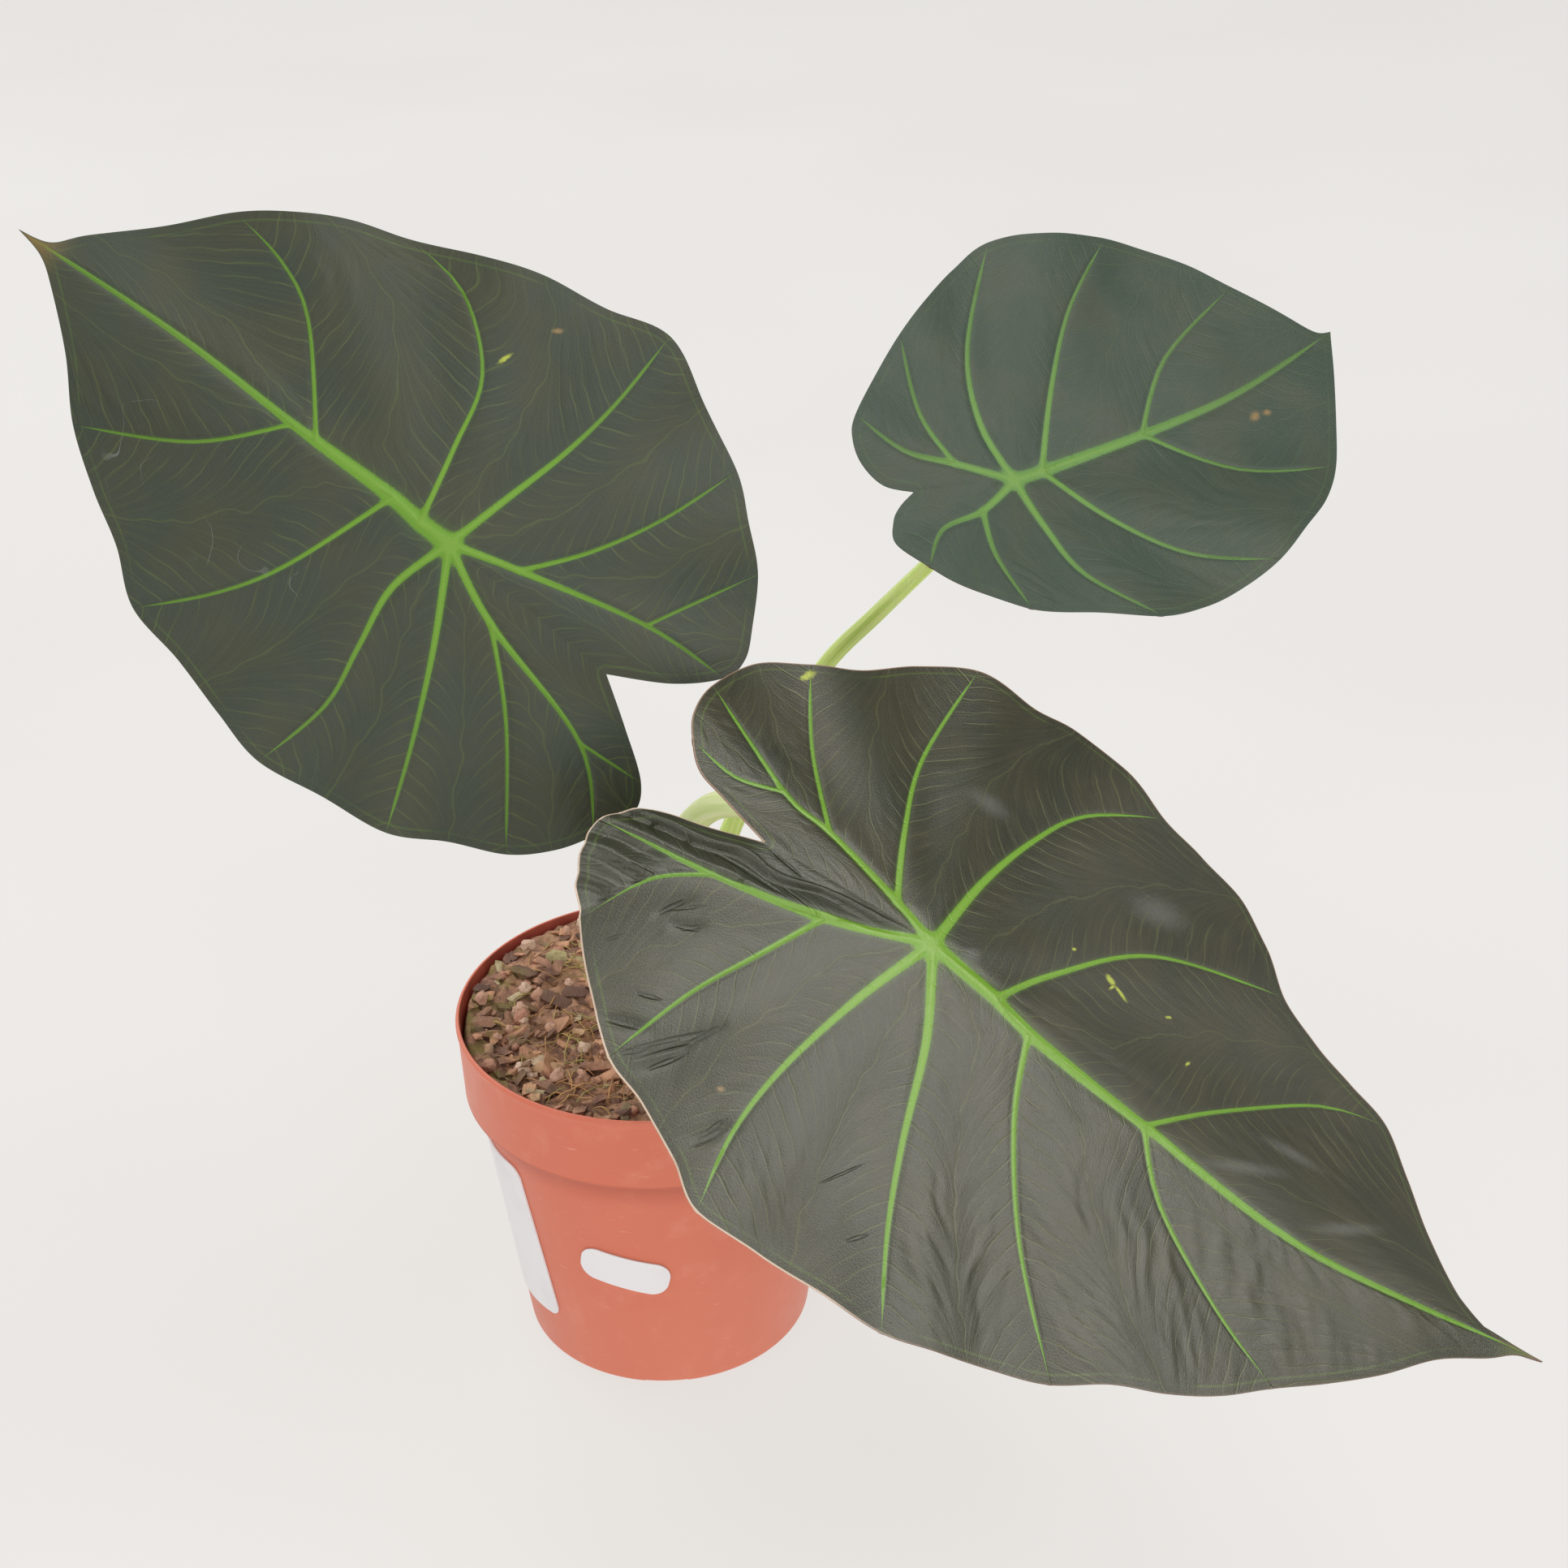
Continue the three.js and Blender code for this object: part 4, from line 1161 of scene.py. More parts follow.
def spline(points, positions):
    """Places on the smooth curve through some points, at positions counted in points."""
    points = np.asarray([point[:2] for point in points], float)
    last = len(points) - 1
    positions = np.clip(np.atleast_1d(np.asarray(positions, float)), 0, last)
    k = np.minimum(positions.astype(int), last - 1)
    t = (positions - k)[:, None]
    before, here = points[np.maximum(k - 1, 0)], points[k]
    there, after = points[k + 1], points[np.minimum(k + 2, last)]
    start, end = (there - before) / 2, (after - here) / 2
    bend = (2 * here - 2 * there + start + end) * t**3
    return bend + (3 * there - 3 * here - 2 * start - end) * t**2 + start * t + here


for leaf in LEAVES:
    u, v = np.array([leaf["midrib"][-1][1:]], float).T
    tip = in_space(leaf, u, v, surface_height(leaf, u, v))[0]
    print(leaf["name"], "leaf's tip in mm:", [round(float(value)) for value in tip])

# %% [markdown]
# ## Courses of the stalks
# A stalk rises from the soil, arches, and meets its leaf from behind. Its course is a list of
# places in millimetres. Straight lines between them would show as kinks, and a plain spline can
# loop where places are close, so the curve's speed follows the gaps between them.

# %% Draw the courses of the stalks
STALKS = dict(
    left=([(-6, -2, 84), (-6, -2, 107), (-7, -8, 142), (-13, -21, 182), (-22, -31, 216), (-33, -39, 250)],
          (4.6, 3.2, 2.6)),
    front=([(4, -7, 84), (4, -7, 107), (4, -16, 140), (7, -27, 170), (13, -38, 192), (22, -50, 206),
            (34, -64, 212), (50, -87, 210), (62, -107, 205)], (5.4, 3.9, 3.2)),
    back=([(5, 5, 84), (5, 5, 107), (15, 6, 142), (31, 8, 182), (52, 12, 216), (66, 14, 230),
           (81, 17, 244), (96, 19, 258)], (4.4, 2.6, 2.0)),
)
STALK_STEP = 1.5
CURVE_STEPS = 24


def curve_through(points, step):
    """Evenly spaced places on a smooth curve through some points, which never loops."""
    points = np.asarray(points, float)
    points = np.vstack([[2 * points[0] - points[1]], points, [2 * points[-1] - points[-2]]])
    fine = []
    for a, b, c, d in zip(points, points[1:], points[2:], points[3:]):
        t1 = np.linalg.norm(b - a) ** 0.5
        t2 = t1 + np.linalg.norm(c - b) ** 0.5
        t3 = t2 + np.linalg.norm(d - c) ** 0.5
        t = np.linspace(t1, t2, CURVE_STEPS, endpoint=False)[:, None]
        ab = lerp(a, b, t / t1)
        bc = lerp(b, c, (t - t1) / (t2 - t1))
        cd = lerp(c, d, (t - t2) / (t3 - t2))
        abc, bcd = lerp(ab, bc, t / t2), lerp(bc, cd, (t - t1) / (t3 - t1))
        fine.append(lerp(abc, bcd, (t - t1) / (t2 - t1)))
    fine = np.vstack(fine + [points[-2:-1]])
    lengths = np.concatenate([[0], np.cumsum(np.linalg.norm(np.diff(fine, axis=0), axis=1))])
    even = np.linspace(0, lengths[-1], max(2, round(lengths[-1] / step)))
    return np.stack([np.interp(even, lengths, fine[:, axis]) for axis in range(3)], 1)

for name, (course, _) in STALKS.items():
    print("points along the", name, "stalk's course:", len(curve_through(course, STALK_STEP)))

# %% [markdown]
# ## The stalks
# A stalk could be a plain bent tube, but a real one is widest at its foot, and its lower third
# is a sheath for the next stalk, with a shallow channel and raised edges. So the tube's section
# changes along the way: channelled below, round above, and widening where it joins the ribs.

# %% Grow the stalks
STALK_COLOURS = dict(
    left=(screen_colour(188, 216, 128), screen_colour(152, 194, 92)),
    front=(screen_colour(240, 248, 190), screen_colour(216, 234, 150)),
    back=(screen_colour(226, 242, 150), screen_colour(198, 226, 112)),
)
STALK_MEETS = 4.1
STALK_KNEE = 3
STALK_TOP = 2.2  # the stalk ends this far below the leaf's drawn surface
STALK_SIDES = 40
KNEE = dict(start=0.955, flare=0.35)
CHANNEL = dict(start=0.12, end=0.36, depth=0.3, half=0.5)
CHANNEL_EDGE = dict(height=0.12, at=0.95, half=0.3)
FLUTES = dict(count=9, height=0.012)


def stalk_finish(name, pale, deep):
    """A smooth, juicy stalk: pale and deep green in long streaks, with a soft gloss."""
    kit = FinishKit("stalk_" + name)
    around, along = kit.number("around"), kit.number("along")
    streaks = kit.cloud(kit.join(kit.times(around, 3.2), kit.times(along, 0.035)), 1.0, 3.0)
    speck = kit.cloud(kit.spot(), 420.0, 3.0)
    body = kit.blend(kit.rise(streaks, 0.35, 0.68), pale, deep)
    foot = kit.blend(kit.rise(along, 4.0, 48.0, 0.5, 0.0), body, screen_colour(206, 184, 140))
    specked = kit.blend(kit.rise(speck, 0.55, 0.75, 0.0, 0.25), foot, screen_colour(232, 240, 184))
    kit.set(Base_Color=specked)
    kit.set(Roughness=kit.rise(streaks, 0.2, 0.8, 0.36, 0.5), Specular_IOR_Level=0.45)
    kit.set(Subsurface_Weight=0.15, Subsurface_Radius=(0.002, 0.003, 0.0008), Subsurface_Scale=1.0)
    kit.bump(streaks, 0.00025, 0.6)
    return kit.material


def build_stalk(leaf):
    name = leaf["name"]
    route, (foot, middle, top) = STALKS[name]
    face = leaf_axes(leaf)[2]
    junction = np.asarray(leaf["junction"], float)
    ends = [junction - face * (STALK_MEETS + STALK_KNEE), junction - face * STALK_TOP]
    path = curve_through(list(route) + ends, STALK_STEP)
    share = np.linspace(0, 1, len(path))
    flare = 1 + KNEE["flare"] * smooth_rise(share, KNEE["start"], 1)
    radii = np.interp(share, (0, 0.5, 1), (foot, middle, top)) * flare
    angles = np.arange(STALK_SIDES) * 2 * math.pi / STALK_SIDES
    off = np.abs((angles + math.pi) % (2 * math.pi) - math.pi)
    fade = 1 - smooth_rise(share, CHANNEL["start"], CHANNEL["end"])
    hollow = -CHANNEL["depth"] * np.exp(-((off / CHANNEL["half"]) ** 2))
    off_edge = (off - CHANNEL_EDGE["at"]) / CHANNEL_EDGE["half"]
    channel = hollow + CHANNEL_EDGE["height"] * np.exp(-(off_edge**2))
    section = 1 + np.outer(fade, channel) + FLUTES["height"] * np.cos(FLUTES["count"] * angles)
    points, faces = tube(path, radii, STALK_SIDES, section)
    finish = stalk_finish(name, *STALK_COLOURS[name])
    piece = add_piece("petiole_" + name, points, faces, [finish], "stalk_" + name)
    around = np.concatenate([np.tile(off, len(path)), [0, 0]])
    distance = np.arange(len(path)) * STALK_STEP
    along = np.concatenate([np.repeat(distance, STALK_SIDES), [0, distance[-1]]])
    add_measure(piece, "around", around)
    add_measure(piece, "along", along)


for leaf in LEAVES:
    build_stalk(leaf)

# %% [markdown]
# ## Ribs and the fields between them
# The blade is filled field by field. A field lies between two neighbouring ribs, from the point
# where they part to the leaf's edge. Its rows run across it, so the ribs are edges of the mesh
# and every vein stays crisp. Ribs are traced first, as one point for each fine row, and a rib
# shares its first points with the rib that it forks from.

# %% Trace the ribs
FINE = 8
MIDRIB = dict(half=(2.8, 0.8), height=(2.6, 0.5))
SIDE_RIB = dict(half=(1.8, 0.7), height=(1.5, 0.3))


class Cloud:
    """The points of one leaf, flat, each with an index."""

    def __init__(self):
        self.places, self.count = [], 0

    def add(self, places):
        self.places.append(np.atleast_2d(places))
        first = self.count
        self.count += len(self.places[-1])
        return np.arange(first, self.count)


def trace_rib(leaf, cloud, parent, fork, course, size):
    rows = np.arange(leaf["rows"] * FINE + 1) / FINE
    stations = list(course)
    ids, places = np.empty(0, int), np.empty((0, 2))
    if parent:
        first = fork * FINE
        stations = [(fork, *parent["places"][first])] + stations
        ids, places = parent["ids"][: first + 1], parent["places"][: first + 1]
    at = np.interp(rows[len(ids):], [station[0] for station in stations], np.arange(len(stations)))
    fresh = spline([station[1:] for station in stations], at)
    share = rows / leaf["rows"]
    return dict(
        ids=np.concatenate([ids, cloud.add(fresh)]),
        places=np.vstack([places, fresh]),
        fork=fork * FINE,
        half=lerp(*size["half"], share),
        height=lerp(*size["height"], share),
    )


def trace_side(leaf, cloud, midrib, ribs):
    traced = dict(midrib=midrib)
    waiting = list(ribs.items())
    while waiting:
        name, (parent, fork, course) = waiting.pop(0)
        if parent in traced:
            traced[name] = trace_rib(leaf, cloud, traced[parent], fork, course, SIDE_RIB)
        else:
            waiting.append((name, (parent, fork, course)))
    return traced


def trace_notch(leaf, cloud, midrib):
    share = np.arange(1, leaf["rows"] * FINE + 1)[:, None] / (leaf["rows"] * FINE)
    places = share * np.asarray(leaf["notch"], float)
    ones = np.ones(len(share) + 1)
    ids = np.concatenate([midrib["ids"][:1], cloud.add(places)])
    places = np.vstack([midrib["places"][:1], places])
    return dict(ids=ids, places=places, fork=0, half=ones, height=ones * 0)


def list_fields(leaf, cloud):
    """The ribs of a leaf, and the pairs of neighbouring ribs with their stretch of outline."""
    midrib = trace_rib(leaf, cloud, None, 0, leaf["midrib"], MIDRIB)
    notch = trace_notch(leaf, cloud, midrib)
    ribs, fields = [midrib], []
    for outline, side in zip(leaf["outlines"], leaf["ribs"]):
        traced = trace_side(leaf, cloud, midrib, side)
        ribs += [rib for name, rib in traced.items() if name != "midrib"]
        ends = [(midrib, 0)]
        ends += [(traced[entry[2]], index) for index, entry in enumerate(outline) if len(entry) > 2]
        ends += [(notch, len(outline) - 1)]
        fields += [(start, end, outline) for start, end in zip(ends, ends[1:])]
    return ribs, fields


print("ribs to trace:", {leaf["name"]: 1 + sum(map(len, leaf["ribs"])) for leaf in LEAVES})

# %% [markdown]
# ## Filling a field
# Each row of a field gets points close beside both ribs, where the surface dips, and evenly
# spaced points between. A wide row has more points than a narrow one, so neighbouring rows are
# stitched like a zip. That keeps the triangles even: a fixed number of points in each row would
# crowd them near the forks. While a field is filled, each point notes how far across it lies,
# and a measure that grows outwards from the fork, which the fine veins follow later.

# %% Fill the fields
SPACING = 0.95
NARROW = dict(width=3, spacing=0.6)
BESIDE_RIB = np.array([0.5, 1.0, 1.6])
BESIDE_LIMIT = 0.7  # the largest share of a row that lies beside its ribs
QUILT = 0.02
FINE_VEIN_LEAN = 0.5
FINE_VEIN_LIMIT = 0.93


def row_shares(width, half_a, half_b):
    """Where the points of a row lie, as shares of its width."""
    if width < NARROW["width"]:
        return np.linspace(0, 1, max(2, round(width / NARROW["spacing"]) + 1))
    near_a, near_b = BESIDE_RIB * half_a, BESIDE_RIB * half_b
    squeeze = min(1, BESIDE_LIMIT * width / (near_a[-1] + near_b[-1]))
    near_a, near_b = near_a * squeeze, near_b * squeeze
    count = max(1, round((width - near_a[-1] - near_b[-1]) / SPACING))
    middle = np.linspace(near_a[-1], width - near_b[-1], count + 1)
    return np.concatenate([[0], near_a[:-1], middle, width - near_b[-2::-1], [width]]) / width


def zip_rows(inner, inner_at, outer, outer_at, faces):
    """Triangles between two rows, each made from whichever next point comes first."""
    i = j = 0
    while i < len(inner) - 1 or j < len(outer) - 1:
        step_outer = i == len(inner) - 1 or (j < len(outer) - 1 and outer_at[j + 1] <= inner_at[i + 1])
        if step_outer:
            faces.append((inner[i], outer[j], outer[j + 1]))
            j += 1
        else:
            faces.append((inner[i], outer[j], inner[i + 1]))
            i += 1


def fill_field(leaf, cloud, field, number, faces, notes):
    (a, at_a), (b, at_b), outline = field
    last = leaf["rows"] * FINE
    fork = int(np.argmax(a["ids"] != b["ids"])) - 1
    fork_place = a["places"][fork]
    inner, inner_at = a["ids"][fork : fork + 1], np.zeros(1)
    for row in range(fork + 1, last + 1):
        reach = (row - fork) / (last - fork)
        width = float(np.linalg.norm(a["places"][row] - b["places"][row]))
        shares = row_shares(width, a["half"][row], b["half"][row])
        f = shares[1:-1, None]
        rim = spline(outline, lerp(at_a, at_b, f[:, 0]))
        fill = lerp(a["places"][row], b["places"][row], f)
        fill = fill + reach**2 * (rim - lerp(a["places"][last], b["places"][last], f))
        ids = np.concatenate([a["ids"][row : row + 1], cloud.add(fill), b["ids"][row : row + 1]])
        places = np.vstack([a["places"][row], fill, b["places"][row]])
        pillow = QUILT * width * 4 * shares * (1 - shares) * (1 - reach**2)
        across = 1 - np.abs(2 * shares - 1)
        lean = FINE_VEIN_LEAN * width / 2 * np.log(1 - FINE_VEIN_LIMIT * across)
        outward = np.linalg.norm(places - fork_place, axis=1)
        measured = dict(
            pillow=pillow,
            across=across,
            outward=outward,
            phase=outward + lean,
            middle=(shares - 0.5) * width,
            field=np.full(len(ids), number),
            reach=np.full(len(ids), row / last),
        )
        for name, values in measured.items():
            notes[name].append((ids, values))
        zip_rows(inner, inner_at, ids, shares, faces)
        inner, inner_at = ids, shares


def gather(notes, count):
    """One array for each note. Points that two fields share keep the last value."""
    gathered = {}
    for name, entries in notes.items():
        gathered[name] = np.zeros(count)
        for ids, values in entries:
            gathered[name][ids] = values
    return gathered


print("points across a field 40 mm wide:", len(row_shares(40, 1, 1)))

# %% [markdown]
# ## Measuring the leaf
# The finish needs to know, at each point, how near a rib is and how near the edge is. Painted
# masks would need a picture, so the distances are measured on the mesh instead. Where ribs meet,
# their distances are blended softly, which gives the small green webs in the forks. The ribs'
# coloured width is narrower than the rib below, and it thins out before the edge.

# %% Measure distances on the leaf
RIB_COLOUR = dict(
    # half width of the coloured rib at its start, on its way and at its end
    left=dict(midrib=(2.65, 1.1, 0.35), side=(0.85, 0.55, 0.3), lobe=(1.15, 0.7, 0.3)),
    front=dict(midrib=(2.3, 1.25, 0.4), side=(1.08, 0.67, 0.3), lobe=(1.45, 0.82, 0.3)),
    back=dict(midrib=(2.1, 1.35, 0.5), side=(1.1, 0.75, 0.35), lobe=(1.3, 0.85, 0.35)),
)
RIB_STOPS = (0, 0.45, 1)
WEB_SOFTNESS = 2.5
RIB_FADE = (0.84, 0.985)
RIB_LEFT = 0.02  # the share of its width that a rib keeps at the edge
RIM_ROWS = 0.72  # rows from this share on can be near the edge
LINE_STEPS = 8
FAR = 12.0
CHUNK = 4000


def to_polyline(points, line):
    """Distance from each point to a line of straight pieces, and the share along the line there."""
    start, end = line[:-1], line[1:]
    way = end - start
    length2 = np.maximum((way**2).sum(axis=1), 1e-9)
    distance, share = np.empty(len(points)), np.empty(len(points))
    for first in range(0, len(points), CHUNK):
        part = points[first : first + CHUNK, None]
        t = np.clip(((part - start) * way).sum(axis=2) / length2, 0, 1)
        gap = np.linalg.norm(part - start - t[..., None] * way, axis=2)
        best = gap.argmin(axis=1)
        pick = np.arange(len(best))
        distance[first : first + CHUNK] = gap[pick, best]
        share[first : first + CHUNK] = (best + t[pick, best]) / len(way)
    return distance, share


def rib_distance(leaf, places, ribs):
    """How many coloured half widths a point is from the nearest rib."""
    total = np.zeros(len(places))
    for index, rib in enumerate(ribs):
        line = rib["places"][rib["fork"] :: FINE // 2]
        distance, share = to_polyline(places, line)
        row = lerp(rib["fork"], leaf["rows"] * FINE, share) / (leaf["rows"] * FINE)
        kind = "midrib" if index == 0 else "lobe" if rib["fork"] == 0 else "side"
        fade = 1 + RIB_LEFT - smooth_rise(row, *RIB_FADE)
        half = np.interp(row, RIB_STOPS, RIB_COLOUR[leaf["name"]][kind]) * fade
        total += np.exp(-WEB_SOFTNESS * np.minimum(distance / half, FAR))
    return np.minimum(-np.log(np.maximum(total, 1e-30)) / WEB_SOFTNESS, FAR)


def edge_distance(leaf, places, reach):
    """Distance to the leaf's outline, for the points that are near it."""
    distance = np.full(len(places), FAR)
    near = np.flatnonzero(reach > RIM_ROWS)
    for outline in leaf["outlines"]:
        line = spline(outline, np.linspace(0, len(outline) - 1, LINE_STEPS * len(outline)))
        distance[near] = np.minimum(distance[near], to_polyline(places[near], line)[0])
    return distance


for name, widths in RIB_COLOUR.items():
    print("coloured width of the", name, "leaf's midrib in mm:", [2 * half for half in widths["midrib"]])

# %% [markdown]
# ## Wrinkles
# A real leaf isn't smooth between its ribs. The fine veins lie in shallow creases, and longer
# wrinkles flow outwards almost along the ribs, deeper near the edge, where they catch the light.
# Beside the near leaf's tip they cross the field instead. A bump map alone wouldn't change the
# outline of a highlight or stay in the exported mesh, so all of this moves the mesh. Regular
# waves look machine-made, so the wrinkles are noise that is stretched along the flow, and
# patches listed for each leaf say where they are strong.

# %% Shape the wrinkles
WRINKLE_SIZE = (3.6, 15.0)
WRINKLE_SLANT = 0.32
WRINKLE_WANDER = (5.0, 13, 21.0)  # strength, size in mm and seed, as for every slow noise here
FINER = dict(width=2.3, length=1.7, share=0.35, shift=40)
CROSSED = dict(front=[0])  # fields, by number, whose wrinkles cross them
CROSSING_SLANT = 0.7
CROSSING_WANDER = 0.4
RIPPLES = dict(
    # flat place, radius, strength
    left=[
        (60, -40, 26, 0.3), (-20, 55, 24, 0.25), (-60, 30, 22, 0.3), (-60, -30, 20, 0.3), (95, 15, 22, 0.25),
    ],
    front=[
        (-62, -38, 22, 0.3), (-34, -62, 22, 0.4), (-72, -12, 18, 0.6), (-62, 22, 20, 0.6), (0, -74, 24, 0.7),
        (45, -62, 30, 0.9), (90, -48, 36, 1.0), (118, -28, 36, 1.1), (150, -18, 22, 0.8), (110, 16, 28, 0.7),
        (60, 30, 20, 0.3), (70, 62, 22, 0.2),
    ],
    back=[(40, -40, 24, 0.3), (70, 20, 24, 0.3)],
)
RIPPLE_CORE = 0.3  # the share of a patch's radius that has its full strength


def soft_noise(x, y, shift):
    return np.array([noise.noise(Vector(place)) for place in zip(x, y, np.broadcast_to(shift, len(x)))])


def slow_noise(u, v, strength, size, shift):
    return strength * soft_noise(u / size, v / size, shift)


def ripple_strength(leaf, places):
    strength = np.zeros(len(places))
    for u, v, radius, amount in RIPPLES[leaf["name"]]:
        away = np.hypot(places[:, 0] - u, places[:, 1] - v) / radius
        strength = np.maximum(strength, amount * (1 - smooth_rise(away, RIPPLE_CORE, 1)))
    return strength


def wrinkles(leaf, notes, wander):
    """Uneven wrinkles that leave the ribs at a slant and run outwards, or cross their field."""
    side = np.sign(notes["middle"])
    flow = notes["middle"] + side * WRINKLE_SLANT * notes["outward"] + wander
    crossed = np.isin(notes["field"], CROSSED.get(leaf["name"], []))
    crossing = notes["outward"] - CROSSING_SLANT * notes["middle"] + CROSSING_WANDER * wander
    flow = np.where(crossed, crossing, flow)
    way = np.where(crossed, notes["middle"], notes["outward"])
    width, length = WRINKLE_SIZE
    shift = 5.3 * notes["field"] + 2.1 * side
    broad = soft_noise(flow / width, way / length, shift)
    narrow = soft_noise(flow / width * FINER["width"], way / length * FINER["length"], shift + FINER["shift"])
    return broad + FINER["share"] * narrow


print("wrinkled patches:", {name: len(patches) for name, patches in RIPPLES.items()})

# %% [markdown]
# ## Folds and pleats
# The near leaf was bent once, and sharp folds stayed. Its lobe beside the notch hangs in narrow
# pleats, whose long sides turn away from the light and look almost black. Noise would put them
# anywhere, so the folds are listed one by one, and the pleats are a slanting sawtooth across the
# fields that are named here. Both also darken the finish, since little light reaches into them.

# %% Shape the folds and pleats
FOLDS = dict(
    # flat points along the fold, half width, depth, and how much painted shade it adds
    front=[
        ([(-59.5, -55.5), (-54.4, -54.3), (-49, -53)], 1.6, 0.6, 0.9),
        ([(-45.9, -61.9), (-41.3, -55.7), (-34.9, -44.7)], 1.4, 0.8, 0.9),
        ([(-60.5, -27.5), (-57.9, -23.8), (-55, -20.5)], 1.0, 0.6, 1.0),
        ([(-56.5, -28), (-52.8, -26.8), (-49.2, -24.6)], 0.9, 0.5, 1.0),
        ([(-28.5, -71), (-24.8, -67.5), (-21.7, -63)], 1.8, 0.6, 0.6),
        ([(85, -48), (89.6, -42), (94, -36.5)], 2.4, 0.12, 0.4),
        ([(57, -26), (59.1, -33.8), (65.5, -41.2)], 0.9, 0.25, 0.5),
        ([(-45, 0.5), (-36.3, -2), (-25.9, -2.1)], 1.0, 0.4, 0.6),
    ],
)
FOLD_ENDS = (0.12, 0.88)
PLEATED = dict(front={6: 1.0, 7: 1.0})  # how strongly some fields, by number, hang in pleats
PLEAT_EDGE = 0.15
PLEAT_DARKENS = 0.9
PLEAT_WIDTH = 6.8
PLEAT_HEIGHT = 1.2
PLEAT_LONG_SIDE = 0.76
PLEAT_LEAN = 0.09
PLEAT_START = 7.0
PLEAT_WANDER = (2.2, 14, 33.0)
PLEAT_OUTWARD = (6, 18)
PLEAT_CORNER = dict(turn=(6, 7.5), u=(-52, -44))  # beyond both of these the leaf is flat again


def fold_marks(leaf, places):
    """How deep the listed folds press each point, and how much painted shade they add there."""
    depth, painted_shade = np.zeros(len(places)), np.zeros(len(places))
    for line, half, deep, dark in FOLDS.get(leaf["name"], []):
        points = spline(line, np.linspace(0, len(line) - 1, LINE_STEPS * len(line)))
        distance, share = to_polyline(places, points)
        valley = np.exp(-((distance / half) ** 2)) * np.sin(math.pi * lerp(*FOLD_ENDS, share))
        depth += deep * valley
        painted_shade = np.maximum(painted_shade, dark * valley)
    return depth, painted_shade


def pleated_part(leaf, notes):
    """How strongly the fields hang in pleats, fading beside the ribs."""
    strength = np.zeros(len(notes["field"]))
    for number, amount in PLEATED.get(leaf["name"], {}).items():
        strength[notes["field"] == number] = amount
    return strength * smooth_rise(notes["across"], 0, PLEAT_EDGE)


def pleats(leaf, places, notes):
    """Pleats whose long sides lean away from the light: dark bands with thin glints between."""
    u, v = places.T
    bent = v - PLEAT_LEAN * u + PLEAT_START + slow_noise(u, v, *PLEAT_WANDER)
    strength = pleated_part(leaf, notes) * smooth_rise(notes["outward"], *PLEAT_OUTWARD)
    strength *= 1 - smooth_rise(bent, *PLEAT_CORNER["turn"]) * smooth_rise(u, *PLEAT_CORNER["u"])
    turn = bent / PLEAT_WIDTH % 1
    falling = 1 - 2 * turn / PLEAT_LONG_SIDE
    rising = 2 * (turn - PLEAT_LONG_SIDE) / (1 - PLEAT_LONG_SIDE) - 1
    return PLEAT_HEIGHT * strength * np.where(turn < PLEAT_LONG_SIDE, falling, rising)


print("folds listed:", sum(map(len, FOLDS.values())))

# %% [markdown]
# ## The whole upper surface
# The quilting adds up what a finger would feel: each field is a soft pillow, its fine veins lie
# in creases, wrinkles and slow rolls run over it, the ribs sit in grooves, and folds and pleats
# come last. Each part could be a modifier with a texture, but a sum of formulas keeps to the
# ribs and fields, and fades out beside them and at the edge.

# %% Add up the surface
VEIN_SPACING = 4.8
VEIN_CREASE = (0.03, 0.13)
VEIN_WOBBLE = (1.6, 9, 3.0)
CREASE_SHARPNESS = 0.8
WRINKLE = (0.09, 0.5)
WRINKLE_PATCHES = (1.0, 17, 8.0)
PATCH_LEAST, PATCH_MORE, PATCH_LEVEL = 0.55, 0.9, 0.3
ROOM = dict(from_rib=(0.03, 0.3), to_middle=(0.8, 1), from_edge=(0, 5))
RIB_GROOVE = dict(depth=0.28, ends=(0.5, 2.4))
RIB_CORE = dict(depth=0.34, ends=(0, 0.9))
GROOVE_INLAND = (1, 9)
ROLL = (0.7, 26.0, 11.0)
ROLL_FROM_RIB = 0.6


def falling_off(value, start, end):
    return 1 - smooth_rise(value, start, end)


def vein_waves(leaf, places, notes):
    """The creases of the fine veins, and the wrinkles where the leaf has them."""
    u, v = places.T
    turn = (notes["phase"] + slow_noise(u, v, *VEIN_WOBBLE)) / VEIN_SPACING
    to_vein = 2 * np.abs(turn - np.round(turn))
    crease = np.sin(to_vein * math.pi / 2) ** CREASE_SHARPNESS - 0.5
    patches = np.clip(slow_noise(u, v, *WRINKLE_PATCHES) + PATCH_LEVEL, 0, 1)
    strong = ripple_strength(leaf, places) * (PATCH_LEAST + PATCH_MORE * patches)
    wander = slow_noise(u, v, *WRINKLE_WANDER)
    return lerp(*VEIN_CREASE, strong) * crease + lerp(*WRINKLE, strong) * wrinkles(leaf, notes, wander)


def quilted(leaf, places, notes):
    """How far each point of the upper face stands off the leaf's smooth surface."""
    across, edge, rib = notes["across"], notes["edge_mm"], notes["rib"]
    room = smooth_rise(across, *ROOM["from_rib"]) * falling_off(across, *ROOM["to_middle"])
    room = room * smooth_rise(edge, *ROOM["from_edge"])
    groove = RIB_GROOVE["depth"] * falling_off(rib, *RIB_GROOVE["ends"])
    groove -= RIB_CORE["depth"] * falling_off(rib, *RIB_CORE["ends"])
    groove *= smooth_rise(edge, *GROOVE_INLAND)
    roll = slow_noise(*places.T, *ROLL) * smooth_rise(across, 0, ROLL_FROM_RIB)
    folded = pleats(leaf, places, notes) - notes["fold_depth"]
    return notes["pillow"] + vein_waves(leaf, places, notes) * room - groove + roll + folded


print("fine veins are", VEIN_SPACING, "mm apart")

